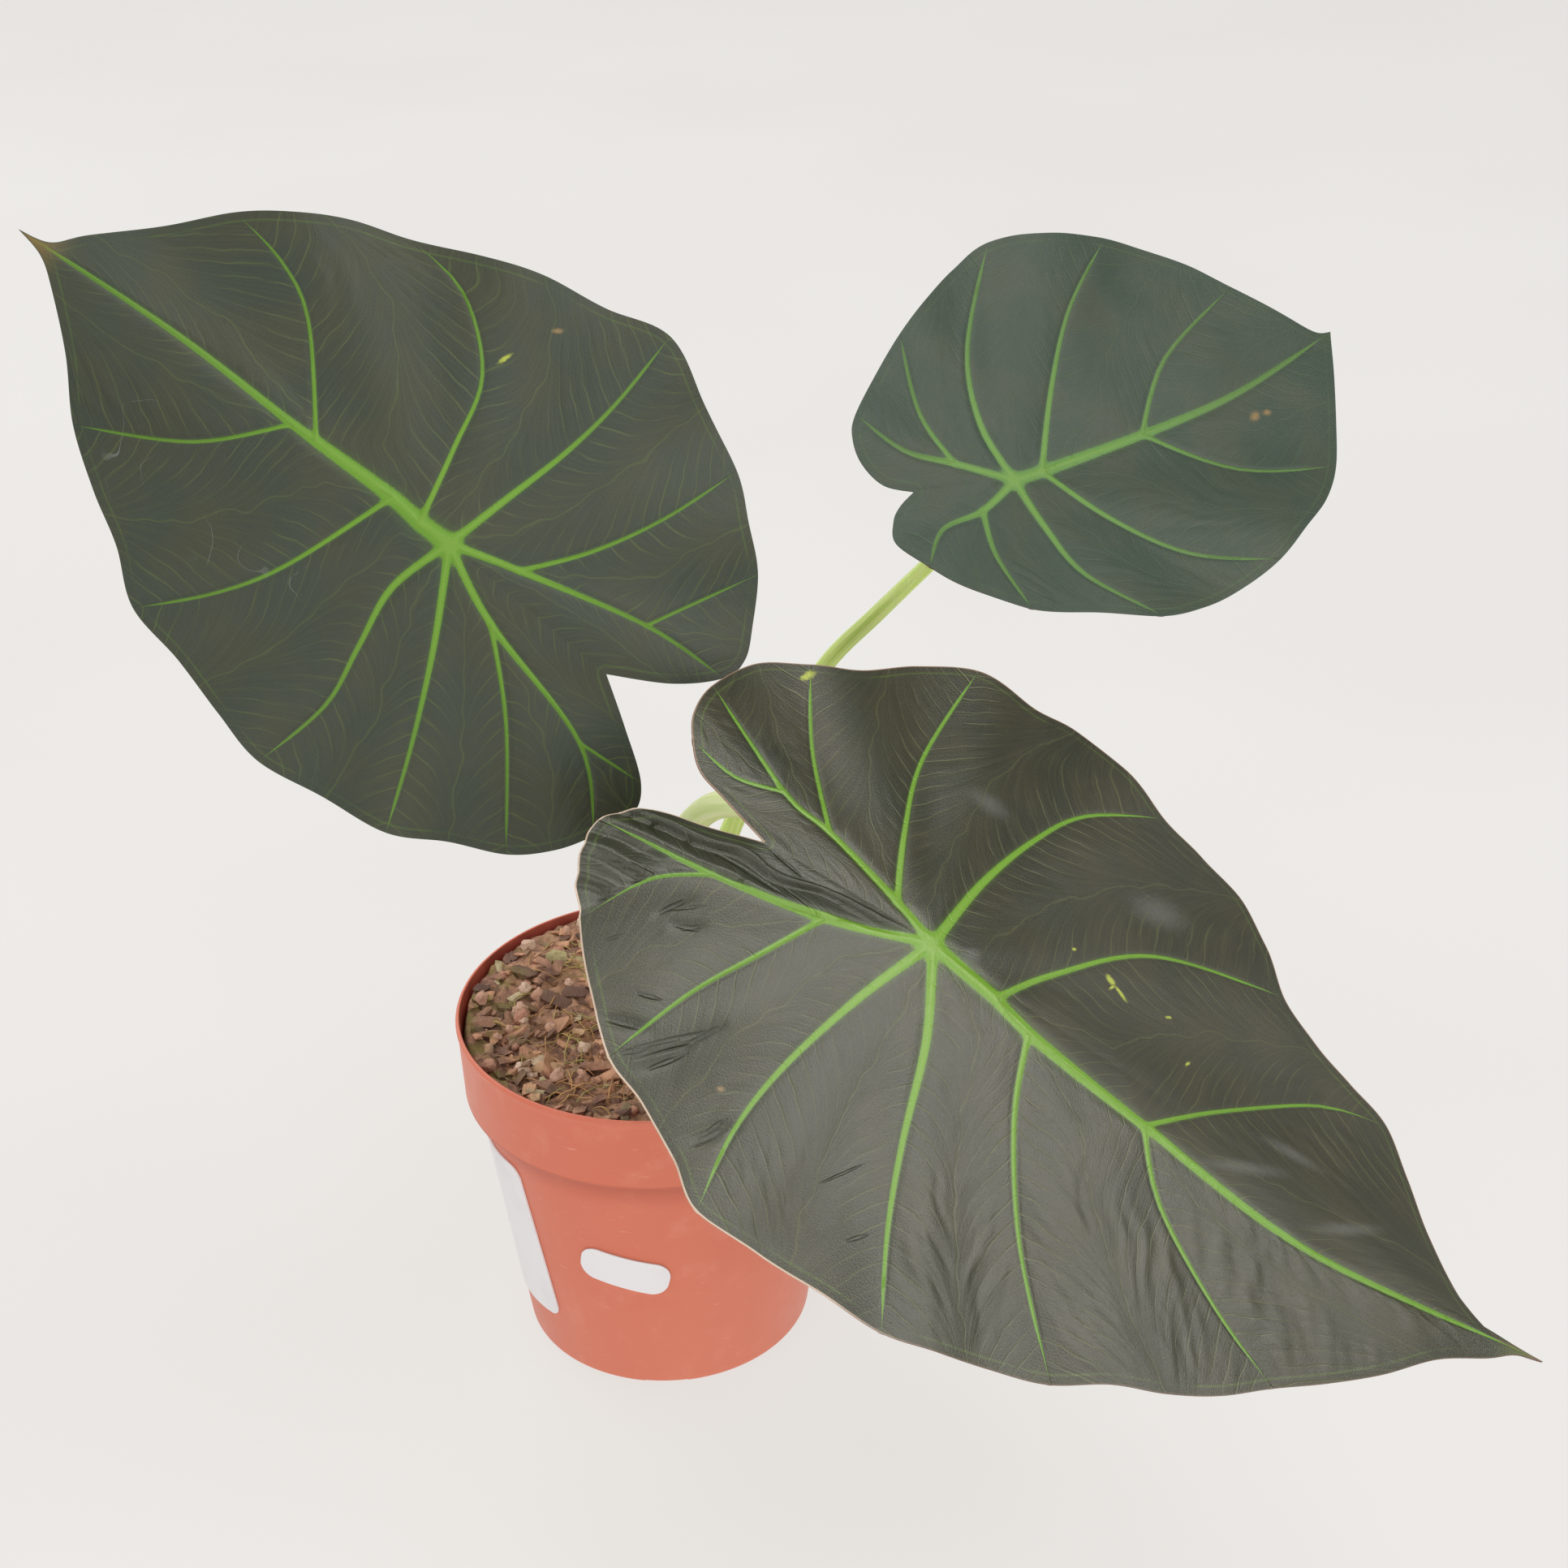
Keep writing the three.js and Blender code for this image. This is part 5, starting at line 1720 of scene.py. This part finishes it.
# %% [markdown]
# ## Ribs underneath
# A real leaf's ribs stand out below, where they carry it. They could be tubes laid under the
# sheet, but those would leave seams. So the lower face itself is raised over each rib, and then
# joined to the upper face by a band round the edge.

# %% Raise the ribs and close the sheet
RELIEF = dict(width=1.15, power=0.6)
UPPER, UNDER, RIM = range(3)


def rib_relief(places, ribs):
    """Height of the ribs on the underside."""
    relief = np.zeros(len(places))
    for rib in ribs:
        distance, share = to_polyline(places, rib["places"][rib["fork"] :: FINE // 2])
        row = lerp(rib["fork"], len(rib["half"]) - 1, share)
        at = np.arange(len(rib["half"]))
        half, height = np.interp(row, at, rib["half"]), np.interp(row, at, rib["height"])
        bar = np.clip(1 - (distance / (RELIEF["width"] * half)) ** 2, 0, 1)
        relief = np.maximum(relief, height * bar ** RELIEF["power"])
    return relief


def closed_sheet(upper, count):
    """Upper triangles, the same turned over below them, and a band round the edge."""
    upper = np.asarray(upper)
    below = upper[:, [0, 2, 1]] + count
    sides = {}
    for a, b, c in upper.tolist():
        sides[(a, b)] = sides[(b, c)] = sides[(c, a)] = True
    rim = [(a, b) for a, b in sides if (b, a) not in sides]
    band = [(a, a + count, b + count, b) for a, b in rim]
    kinds = [UPPER] * len(upper) + [UNDER] * len(below) + [RIM] * len(band)
    return upper.tolist() + below.tolist() + band, kinds

print("faces that one triangle closes into:", len(closed_sheet([(0, 1, 2)], 3)[0]))

# %% [markdown]
# ## Blades
# A blade is a thin closed sheet: the quilted upper face, a lower face with the ribs raised on
# it, and a band round the edge. A sheet with no thickness would be lighter, but it has no
# underside of its own, and this plant's underside is another colour. The sheet thins out
# towards its edge, as the real one does. It carries its measures along, for the finishes.

# %% Make the blade sheets
THICKNESS = 0.75
EDGE_THICKNESS = 0.42
EDGE_BAND = 3
BLADE_SHARP = math.radians(70)
FIELD_NOTES = ("pillow", "across", "outward", "phase", "middle", "field", "reach")
KEPT_NOTES = ("rib", "edge_mm", "across", "phase", "middle", "reach", "fold", "dull")
DULL_BEYOND, DULL_FROM = (-1, 3), (5, 50)


def dullness(leaf, places):
    """Where the near leaf has less gloss: beyond the midrib, towards the tip."""
    u, v = places.T
    if leaf["name"] != "front":
        return np.zeros(len(u))
    return smooth_rise(v - midrib_at(leaf, u), *DULL_BEYOND) * smooth_rise(u, *DULL_FROM)


def flat_leaf(leaf):
    """The leaf filled with triangles while it lies flat, with everything measured on it."""
    cloud = Cloud()
    ribs, fields = list_fields(leaf, cloud)
    faces, notes = [], {name: [] for name in FIELD_NOTES}
    for number, field in enumerate(fields):
        fill_field(leaf, cloud, field, number, faces, notes)
    places = np.vstack(cloud.places)
    notes = gather(notes, len(places))
    notes["rib"] = rib_distance(leaf, places, ribs)
    notes["edge_mm"] = edge_distance(leaf, places, notes["reach"])
    notes["fold_depth"], notes["fold"] = fold_marks(leaf, places)
    # painted shade: the pleated fields are darkened, as their long sides turn from the light
    notes["fold"] = np.maximum(notes["fold"], PLEAT_DARKENS * pleated_part(leaf, notes))
    notes["dull"] = dullness(leaf, places)
    faces = np.asarray(faces)
    p, q, r = (places[faces[:, corner]] for corner in range(3))
    turn = np.cross(q - p, r - p)
    faces[turn < 0] = faces[turn < 0][:, [0, 2, 1]]
    return places, faces, notes, ribs


def build_blade(leaf, finishes):
    name = leaf["name"]
    places, faces, notes, ribs = flat_leaf(leaf)
    u, v = places.T
    upper = surface_height(leaf, u, v) + quilted(leaf, places, notes)
    thick = lerp(EDGE_THICKNESS, THICKNESS, smooth_rise(notes["edge_mm"], 0, EDGE_BAND))
    lower = upper - thick - rib_relief(places, ribs)
    sheet, kinds = closed_sheet(faces, len(places))
    points = np.vstack([in_space(leaf, u, v, upper), in_space(leaf, u, v, lower)])
    piece = add_piece("leaf_" + name, points, sheet, finishes, "blade_" + name, kinds, BLADE_SHARP)
    for note in KEPT_NOTES:
        add_measure(piece, note, np.tile(notes[note], 2))
    flat = np.column_stack([places, np.zeros(len(places))])
    add_measure(piece, "flat", np.vstack([flat, flat]))


print("measures that each blade carries:", len(KEPT_NOTES) + 1)

# %% [markdown]
# ## Marks on the leaves
# No leaf is spotless: the near one has slits where its folds cracked, yellow spots, a rusty
# speck and pale patches of painted sheen, and the left one has a few curved scratches. They could
# be painted by hand on a picture, but here each mark is an oval in the leaf's flat drawing, with
# a direction and two sizes, and noise makes its edge ragged.

# %% List the marks and make their masks
SLITS = dict(
    # flat place, direction, half length, half width
    front=[
        (-54.4, -54.1, 13, 5.2, 1.2), (-43.4, -52.7, 42, 11.6, 0.7), (-43.0, -55.4, 45, 8.3, 0.6),
        (-41.9, -57.5, 51, 5.5, 0.7), (-49.5, -59, 40, 4.0, 0.9), (-37.0, -47.6, 55, 4.8, 0.9),
        (-52.7, -46.1, 12, 3.2, 0.7), (-57.9, -23.8, 54, 4.4, 0.8), (-55.1, -22.8, 34, 4.4, 0.6),
        (-52.8, -26.8, 17, 3.6, 0.8), (-51.5, -26.1, 40, 3.0, 0.6), (-24.8, -67.5, 58, 6.0, 1.1),
        (-25.0, -65.1, 65, 3.5, 0.7), (5.7, -60.2, 53, 6.5, 0.4), (15.6, -71.3, 45, 3.2, 0.6),
        (-46.5, -8.3, -5, 10.0, 0.8), (-33.0, -8.2, -14, 6.0, 0.5), (-39.7, -1.5, -14, 5.0, 0.6),
        (-68.0, -19.5, 5, 5.0, 0.6), (-66.2, -36.6, 49, 2.6, 0.5),
    ],
)
SPOTS = dict(
    left=[(16, -45.8, 70, 2.6, 0.7)],
    front=[
        (-55.3, 54.4, 60, 2.9, 1.3), (46.6, 22.5, -24, 2.2, 1.1), (50.2, 20.9, -24, 3.2, 0.7),
        (47.5, 21.0, 60, 1.6, 0.5), (34.6, 24.3, 20, 0.9, 0.6), (64.6, 23.6, 30, 1.2, 0.5),
        (73.7, 15.1, 60, 1.4, 0.5),
    ],
)
RUSTY_SPOTS = dict(
    left=[(9.5, -59.7, 40, 1.6, 0.7)],
    front=[(-28, -56.8, 20, 1.0, 0.7)],
    back=[(78, -13.6, 20, 2.0, 1.3), (82.3, -14.1, 0, 1.4, 1.0)],
)
# painted sheen: pale grey patches on the near leaf, beyond its midrib, for its silky sheen
PAINTED_SHEEN = dict(
    front=[
        (0.3, 49.2, 11, 8.5, 4.2), (54, 53, 26, 12, 6.5), (10.2, 4, 32, 3.4, 2.4),
        (95.5, -3.8, 27, 16, 2.6), (127, -2, 33, 14, 2.4), (108, 9.8, 7, 12, 2.6),
    ],
)
SCRATCHED = dict(left=[(76, 28, 110, 20, 7), (44, 34, 10, 16, 6), (26, 29, 0, 9, 6)])


def patch_mask(kit, flat, patches, ragged, inside=0.3, outside=1.1):
    """Oval patches with soft, ragged edges."""
    spread = kit.swing(kit.cloud(flat, 0.8, 3.0, 0.7), ragged)
    mask = 0.0
    for u, v, direction, length, width in patches:
        inputs = {"Vector": flat, "Location": (u, v, 0), "Rotation": (0, 0, math.radians(direction))}
        inputs["Scale"] = (length, width, 1)
        place = kit.add("ShaderNodeMapping", inputs, vector_type="TEXTURE")
        away = kit.plus(kit.gauge("LENGTH", place), spread)
        mask = kit.calc("MAXIMUM", mask, kit.rise(away, inside, outside, 1.0, 0.0))
    return mask


def scratches(kit, name, flat):
    """Fine pale scratches, as curved threads in a few places."""
    swirl = kit.cloud(flat, 0.062, 1.0)
    thread = kit.rise(kit.calc("ABSOLUTE", kit.calc("SUBTRACT", swirl, 0.5)), 0.0008, 0.0032, 1.0, 0.0)
    broken = kit.rise(kit.cloud(flat, 0.25, 2.0), 0.36, 0.5)
    where = patch_mask(kit, flat, SCRATCHED.get(name, []), 0.1)
    return kit.times(kit.times(thread, broken), where)


marks = (SLITS, SPOTS, RUSTY_SPOTS, PAINTED_SHEEN, SCRATCHED)
print("marks listed:", sum(len(places) for kind in marks for places in kind.values()))

# %% [markdown]
# ## Veins as masks
# The ribs are bright bands with soft sides, and the fine veins are hairlines that leave a rib,
# bend outwards and meet the next rib's veins in a thin zigzag. Drawing thousands of hairlines is
# hopeless, so they are level lines of a measure that grows along the ribs and leans outwards:
# wherever it passes a whole number of steps, there is a vein.

# %% Make the masks of the veins
def vein_mask(kit, rib, flat):
    return kit.rise(kit.plus(rib, kit.swing(kit.cloud(flat, 1.6, 2.0), 0.15)), 0.66, 1.16, 1.0, 0.0)


def fine_vein_lines(kit, flat):
    """Distance in mm to the nearest fine vein, and a factor that fades the lines in places."""
    across = kit.number("across")
    wander = kit.swing(kit.cloud(flat, 0.11, 1.0), 1.6)
    turn = kit.calc("DIVIDE", kit.plus(kit.number("phase"), wander), VEIN_SPACING)
    to_line = kit.calc("PINGPONG", turn, 0.5)
    room = kit.calc("MULTIPLY_ADD", across, -FINE_VEIN_LIMIT, 1.0)
    slope = kit.calc("DIVIDE", FINE_VEIN_LEAN * FINE_VEIN_LIMIT, room)
    steep = kit.calc("SQRT", kit.calc("MULTIPLY_ADD", slope, slope, 1.0))
    distance = kit.calc("DIVIDE", kit.times(to_line, VEIN_SPACING), steep)
    patchy = kit.rise(kit.cloud(flat, 0.07, 2.0), 0.34, 0.6, 0.15, 1.0)
    shown = kit.times(kit.rise(across, 0.3, 0.92, 1.0, 0.15), patchy)
    return distance, shown


def middle_vein(kit, flat):
    """The thin zigzag vein down the middle of each field, where the fine veins of both ribs meet."""
    wander = kit.swing(kit.cloud(flat, 0.1, 1.0), 3.0)
    away = kit.calc("ABSOLUTE", kit.plus(kit.number("middle"), wander))
    inside = kit.rise(kit.number("across"), 0.5, 0.75)
    return kit.times(kit.rise(away, 0.1, 0.4, 0.4, 0.0), inside)


print("fine veins lean outwards by", FINE_VEIN_LEAN)

# %% [markdown]
# ## Colours of the upper side
# From above, the blade is a dark grey-green, brownish in places, with bright lime ribs and a
# thin vein that follows the rim. Each leaf could have a recipe of its own, but they differ only
# in their tones, so the tones are listed and all three leaves share the same layers.

# %% Mix the layers of the upper side
TONES = dict(
    left=dict(deep=(44, 54, 44), warm=(53, 55, 41), rib=(92, 138, 26), rib_end=(80, 120, 28),
              fine=(75, 87, 45), rim=(54, 62, 46), tip=(128, 104, 54)),
    front=dict(deep=(33, 35, 18), warm=(44, 41, 22), rib=(100, 146, 14), rib_end=(92, 140, 16),
               fine=(76, 80, 38), rim=(226, 200, 176), tip=(106, 116, 60)),
    back=dict(deep=(52, 67, 56), warm=(62, 70, 57), rib=(90, 130, 60), rib_end=(78, 110, 54),
              fine=(62, 80, 56), rim=(52, 70, 56), tip=(56, 70, 48)),
)
TONES = {name: {part: screen_colour(*tone) for part, tone in tones.items()} for name, tones in TONES.items()}
TIP_SIZE = dict(left=16, front=18, back=8)
GRAIN_TONE = screen_colour(24, 26, 20)
RIB_CREST_HIGHLIGHT = screen_colour(134, 164, 72)
SHEEN_TONE = screen_colour(104, 104, 100)
SCRATCH_TONE = screen_colour(140, 148, 144)
YELLOW = screen_colour(156, 166, 56)
RUST = screen_colour(130, 106, 68)


def rim_tone(kit, name, flat):
    """The near leaf's rim is cream beside its left lobe, and brown elsewhere."""
    rim = TONES[name]["rim"]
    if name != "front":
        return rim
    near_side = kit.blend(kit.rise(kit.part(flat, "X"), 6.0, 44.0), rim, screen_colour(92, 72, 54))
    return kit.blend(kit.rise(kit.part(flat, "Y"), -6.0, 6.0), near_side, screen_colour(150, 118, 98))


def blade_colour(kit, name, flat, fibres, drift, grain):
    """The blade between its ribs: drifting greens, silky fibres, dark grain and painted sheen."""
    tones = TONES[name]
    blade = kit.blend(kit.rise(drift, 0.36, 0.64), tones["deep"], tones["warm"])
    blade = kit.blend(kit.rise(fibres, 0.4, 0.75, 0.0, 0.22), blade, tones["fine"])
    blade = kit.blend(kit.rise(grain, 0.35, 0.7, 0.0, 0.4), blade, kit.blend(0.5, blade, GRAIN_TONE))
    # painted sheen: the patches are lightened towards a pale grey
    sheen_patches = patch_mask(kit, flat, PAINTED_SHEEN.get(name, []), 0.4, 0.0, 1.1)
    return kit.blend(sheen_patches, blade, kit.blend(0.45, blade, SHEEN_TONE))


def rim_vein(kit, edge, drift, grain):
    """The thin vein that follows the rim, and fades in stretches."""
    wavy_edge = kit.plus(edge, kit.times(grain, 0.5))
    away = kit.calc("ABSOLUTE", kit.calc("SUBTRACT", wavy_edge, 2.5))
    return kit.times(kit.rise(away, 0.1, 0.4, 0.3, 0.0), kit.rise(drift, 0.4, 0.55, 0.2, 1.0))


def rib_colour(kit, tones, rib, reach):
    """Lime ribs, duller towards the edge, with a painted highlight along their crest."""
    tone = kit.blend(kit.rise(reach, 0.25, 0.95), tones["rib"], tones["rib_end"])
    # painted highlight: a pale line along each rib's crest, for the sheen on top of the rib
    crest = kit.times(kit.rise(rib, 0.0, 0.7, 0.28, 0.0), kit.rise(reach, 0.1, 0.6, 1.0, 0.2))
    return kit.blend(crest, tone, RIB_CREST_HIGHLIGHT)


def marked(kit, leaf, flat, edge, dressed):
    """The leaf's colour with its tip, spots, scratches and rim laid over it."""
    name = leaf["name"]
    to_tip = kit.gauge("DISTANCE", flat, (*leaf["midrib"][-1][1:], 0))
    dressed = kit.blend(kit.rise(to_tip, 1.0, TIP_SIZE[name], 0.8, 0.0), dressed, TONES[name]["tip"])
    dressed = kit.blend(patch_mask(kit, flat, SPOTS.get(name, []), 0.5), dressed, YELLOW)
    rusty = patch_mask(kit, flat, RUSTY_SPOTS.get(name, []), 0.4, 0.1, 1.4)
    dressed = kit.blend(rusty, dressed, RUST)
    dressed = kit.blend(kit.times(scratches(kit, name, flat), 0.35), dressed, SCRATCH_TONE)
    return kit.blend(kit.rise(edge, 0.1, 0.4, 0.8, 0.0), dressed, rim_tone(kit, name, flat))


print("tones of each upper side:", {name: len(tones) for name, tones in TONES.items()})

# %% [markdown]
# ## The leaf's upper side
# The recipe reads the distances measured on the mesh, lets the ribs glow a little into the
# blade, and lays the marks over all. An even gloss would look like wet plastic, so the roughness
# is streaked along the fine veins, and the gloss breaks up into silky fibres. The near leaf is
# duller beyond its midrib.

# %% Mix the upper side
GLOSS = dict(
    # specular level, then the roughness at its smoothest and roughest
    left=(0.45, 0.4, 0.52),
    front=(0.9, 0.29, 0.39),
    back=(0.4, 0.38, 0.5),
)
GLOSS_TINT = screen_colour(253, 251, 242)
FOLD_SHADE_AND_SLIT_TONE = screen_colour(28, 32, 10)


def upper_finish(leaf):
    name = leaf["name"]
    tones = TONES[name]
    kit = FinishKit("leaf_top_" + name)
    flat, rib, edge = kit.place("flat"), kit.number("rib"), kit.number("edge_mm")
    streaked = kit.join(kit.times(kit.number("phase"), 1.3), kit.times(kit.number("across"), 1.6))
    fibres = kit.cloud(streaked, 1.0, 3.0, 0.6)
    drift = kit.cloud(flat, 0.045, 3.0)
    grain = kit.cloud(flat, 2.2, 3.0, 0.65)
    blade = blade_colour(kit, name, flat, fibres, drift, grain)
    line, shown = fine_vein_lines(kit, flat)
    fine = kit.times(kit.rise(line, 0.06, 0.34, 0.6, 0.0), shown)
    fine = kit.calc("MAXIMUM", fine, middle_vein(kit, flat))
    blade = kit.blend(fine, blade, tones["fine"])
    slits = patch_mask(kit, flat, SLITS.get(name, []), 0.25, 0.35, 1.1)
    # painted shade in the folds and pleats, and the dark of the slits
    folded = kit.calc("MAXIMUM", kit.times(kit.number("fold"), 0.8), kit.times(slits, 0.9))
    blade = kit.blend(folded, blade, FOLD_SHADE_AND_SLIT_TONE)
    glow = kit.blend(0.5, tones["rib_end"], tones["deep"])
    blade = kit.blend(kit.rise(rib, 0.9, 2.2, 0.3, 0.0), blade, glow)
    rim_line = kit.blend(0.5, tones["rib_end"], tones["fine"])
    blade = kit.blend(rim_vein(kit, edge, drift, grain), blade, rim_line)
    veins = vein_mask(kit, rib, flat)
    dressed = kit.blend(veins, blade, rib_colour(kit, tones, rib, kit.number("reach")))
    kit.set(Base_Color=marked(kit, leaf, flat, edge, dressed))
    shine, smooth, rough = GLOSS[name]
    satin = kit.plus(kit.rise(fibres, 0.2, 0.8, smooth, rough), kit.times(veins, 0.06))
    satin = kit.plus(satin, kit.times(kit.number("dull"), 0.24))
    kit.set(Roughness=satin, Specular_IOR_Level=shine, Specular_Tint=GLOSS_TINT)
    height = kit.calc("SUBTRACT", kit.times(fibres, 0.35), kit.times(fine, 0.5))
    height = kit.calc("SUBTRACT", height, kit.times(slits, 2.0))
    kit.bump(kit.plus(height, kit.times(grain, 0.7)), 0.0002, 0.8)
    return kit.material


upper_finishes = {leaf["name"]: upper_finish(leaf) for leaf in LEAVES}
print("upper sides mixed:", list(upper_finishes))

# %% [markdown]
# ## The underside and the rim
# The underside is a dull maroon, with raised ribs of pale green and a fine net of veins. It could
# share the upper side's recipe with other colours, but it has no gloss, marks or fibres, so a
# short recipe of its own is easier to read. The rim is a thin line of the leaf's rim tone.

# %% Mix the underside and the rim, and build the blades
MAROON, WARM_MAROON = screen_colour(84, 44, 52), screen_colour(100, 62, 60)
DARK_MAROON = screen_colour(62, 34, 42)
UNDER_VEIN, UNDER_RIB = screen_colour(132, 96, 84), screen_colour(150, 176, 112)
RIM_BROWN = screen_colour(128, 88, 72)


def under_finish(leaf):
    kit = FinishKit("leaf_under_" + leaf["name"])
    flat, rib = kit.place("flat"), kit.number("rib")
    drift = kit.cloud(flat, 0.05, 3.0)
    grain = kit.cloud(flat, 1.8, 3.0, 0.6)
    blade = kit.blend(kit.rise(drift, 0.35, 0.65), MAROON, WARM_MAROON)
    blade = kit.blend(kit.rise(grain, 0.4, 0.75, 0.0, 0.35), blade, DARK_MAROON)
    line, shown = fine_vein_lines(kit, flat)
    fine = kit.times(kit.rise(line, 0.1, 0.5, 0.6, 0.0), shown)
    blade = kit.blend(fine, blade, UNDER_VEIN)
    kit.set(Base_Color=kit.blend(kit.rise(rib, 0.8, 1.35, 1.0, 0.0), blade, UNDER_RIB))
    kit.set(Roughness=kit.rise(grain, 0.3, 0.7, 0.5, 0.62), Specular_IOR_Level=0.35)
    kit.bump(kit.plus(fine, kit.times(grain, 0.3)), 0.0002, 0.8)
    return kit.material


def rim_finish(leaf):
    """The thin edge of the blade, a little browner in stretches."""
    kit = FinishKit("leaf_rim_" + leaf["name"])
    flat = kit.place("flat")
    drift = kit.cloud(flat, 0.12, 3.0)
    plain = rim_tone(kit, leaf["name"], flat)
    kit.set(Base_Color=kit.blend(kit.rise(drift, 0.35, 0.65, 0.0, 0.4), plain, RIM_BROWN))
    kit.set(Roughness=kit.rise(drift, 0.3, 0.7, 0.4, 0.55))
    return kit.material


for leaf in LEAVES:
    build_blade(leaf, [upper_finishes[leaf["name"]], under_finish(leaf), rim_finish(leaf)])
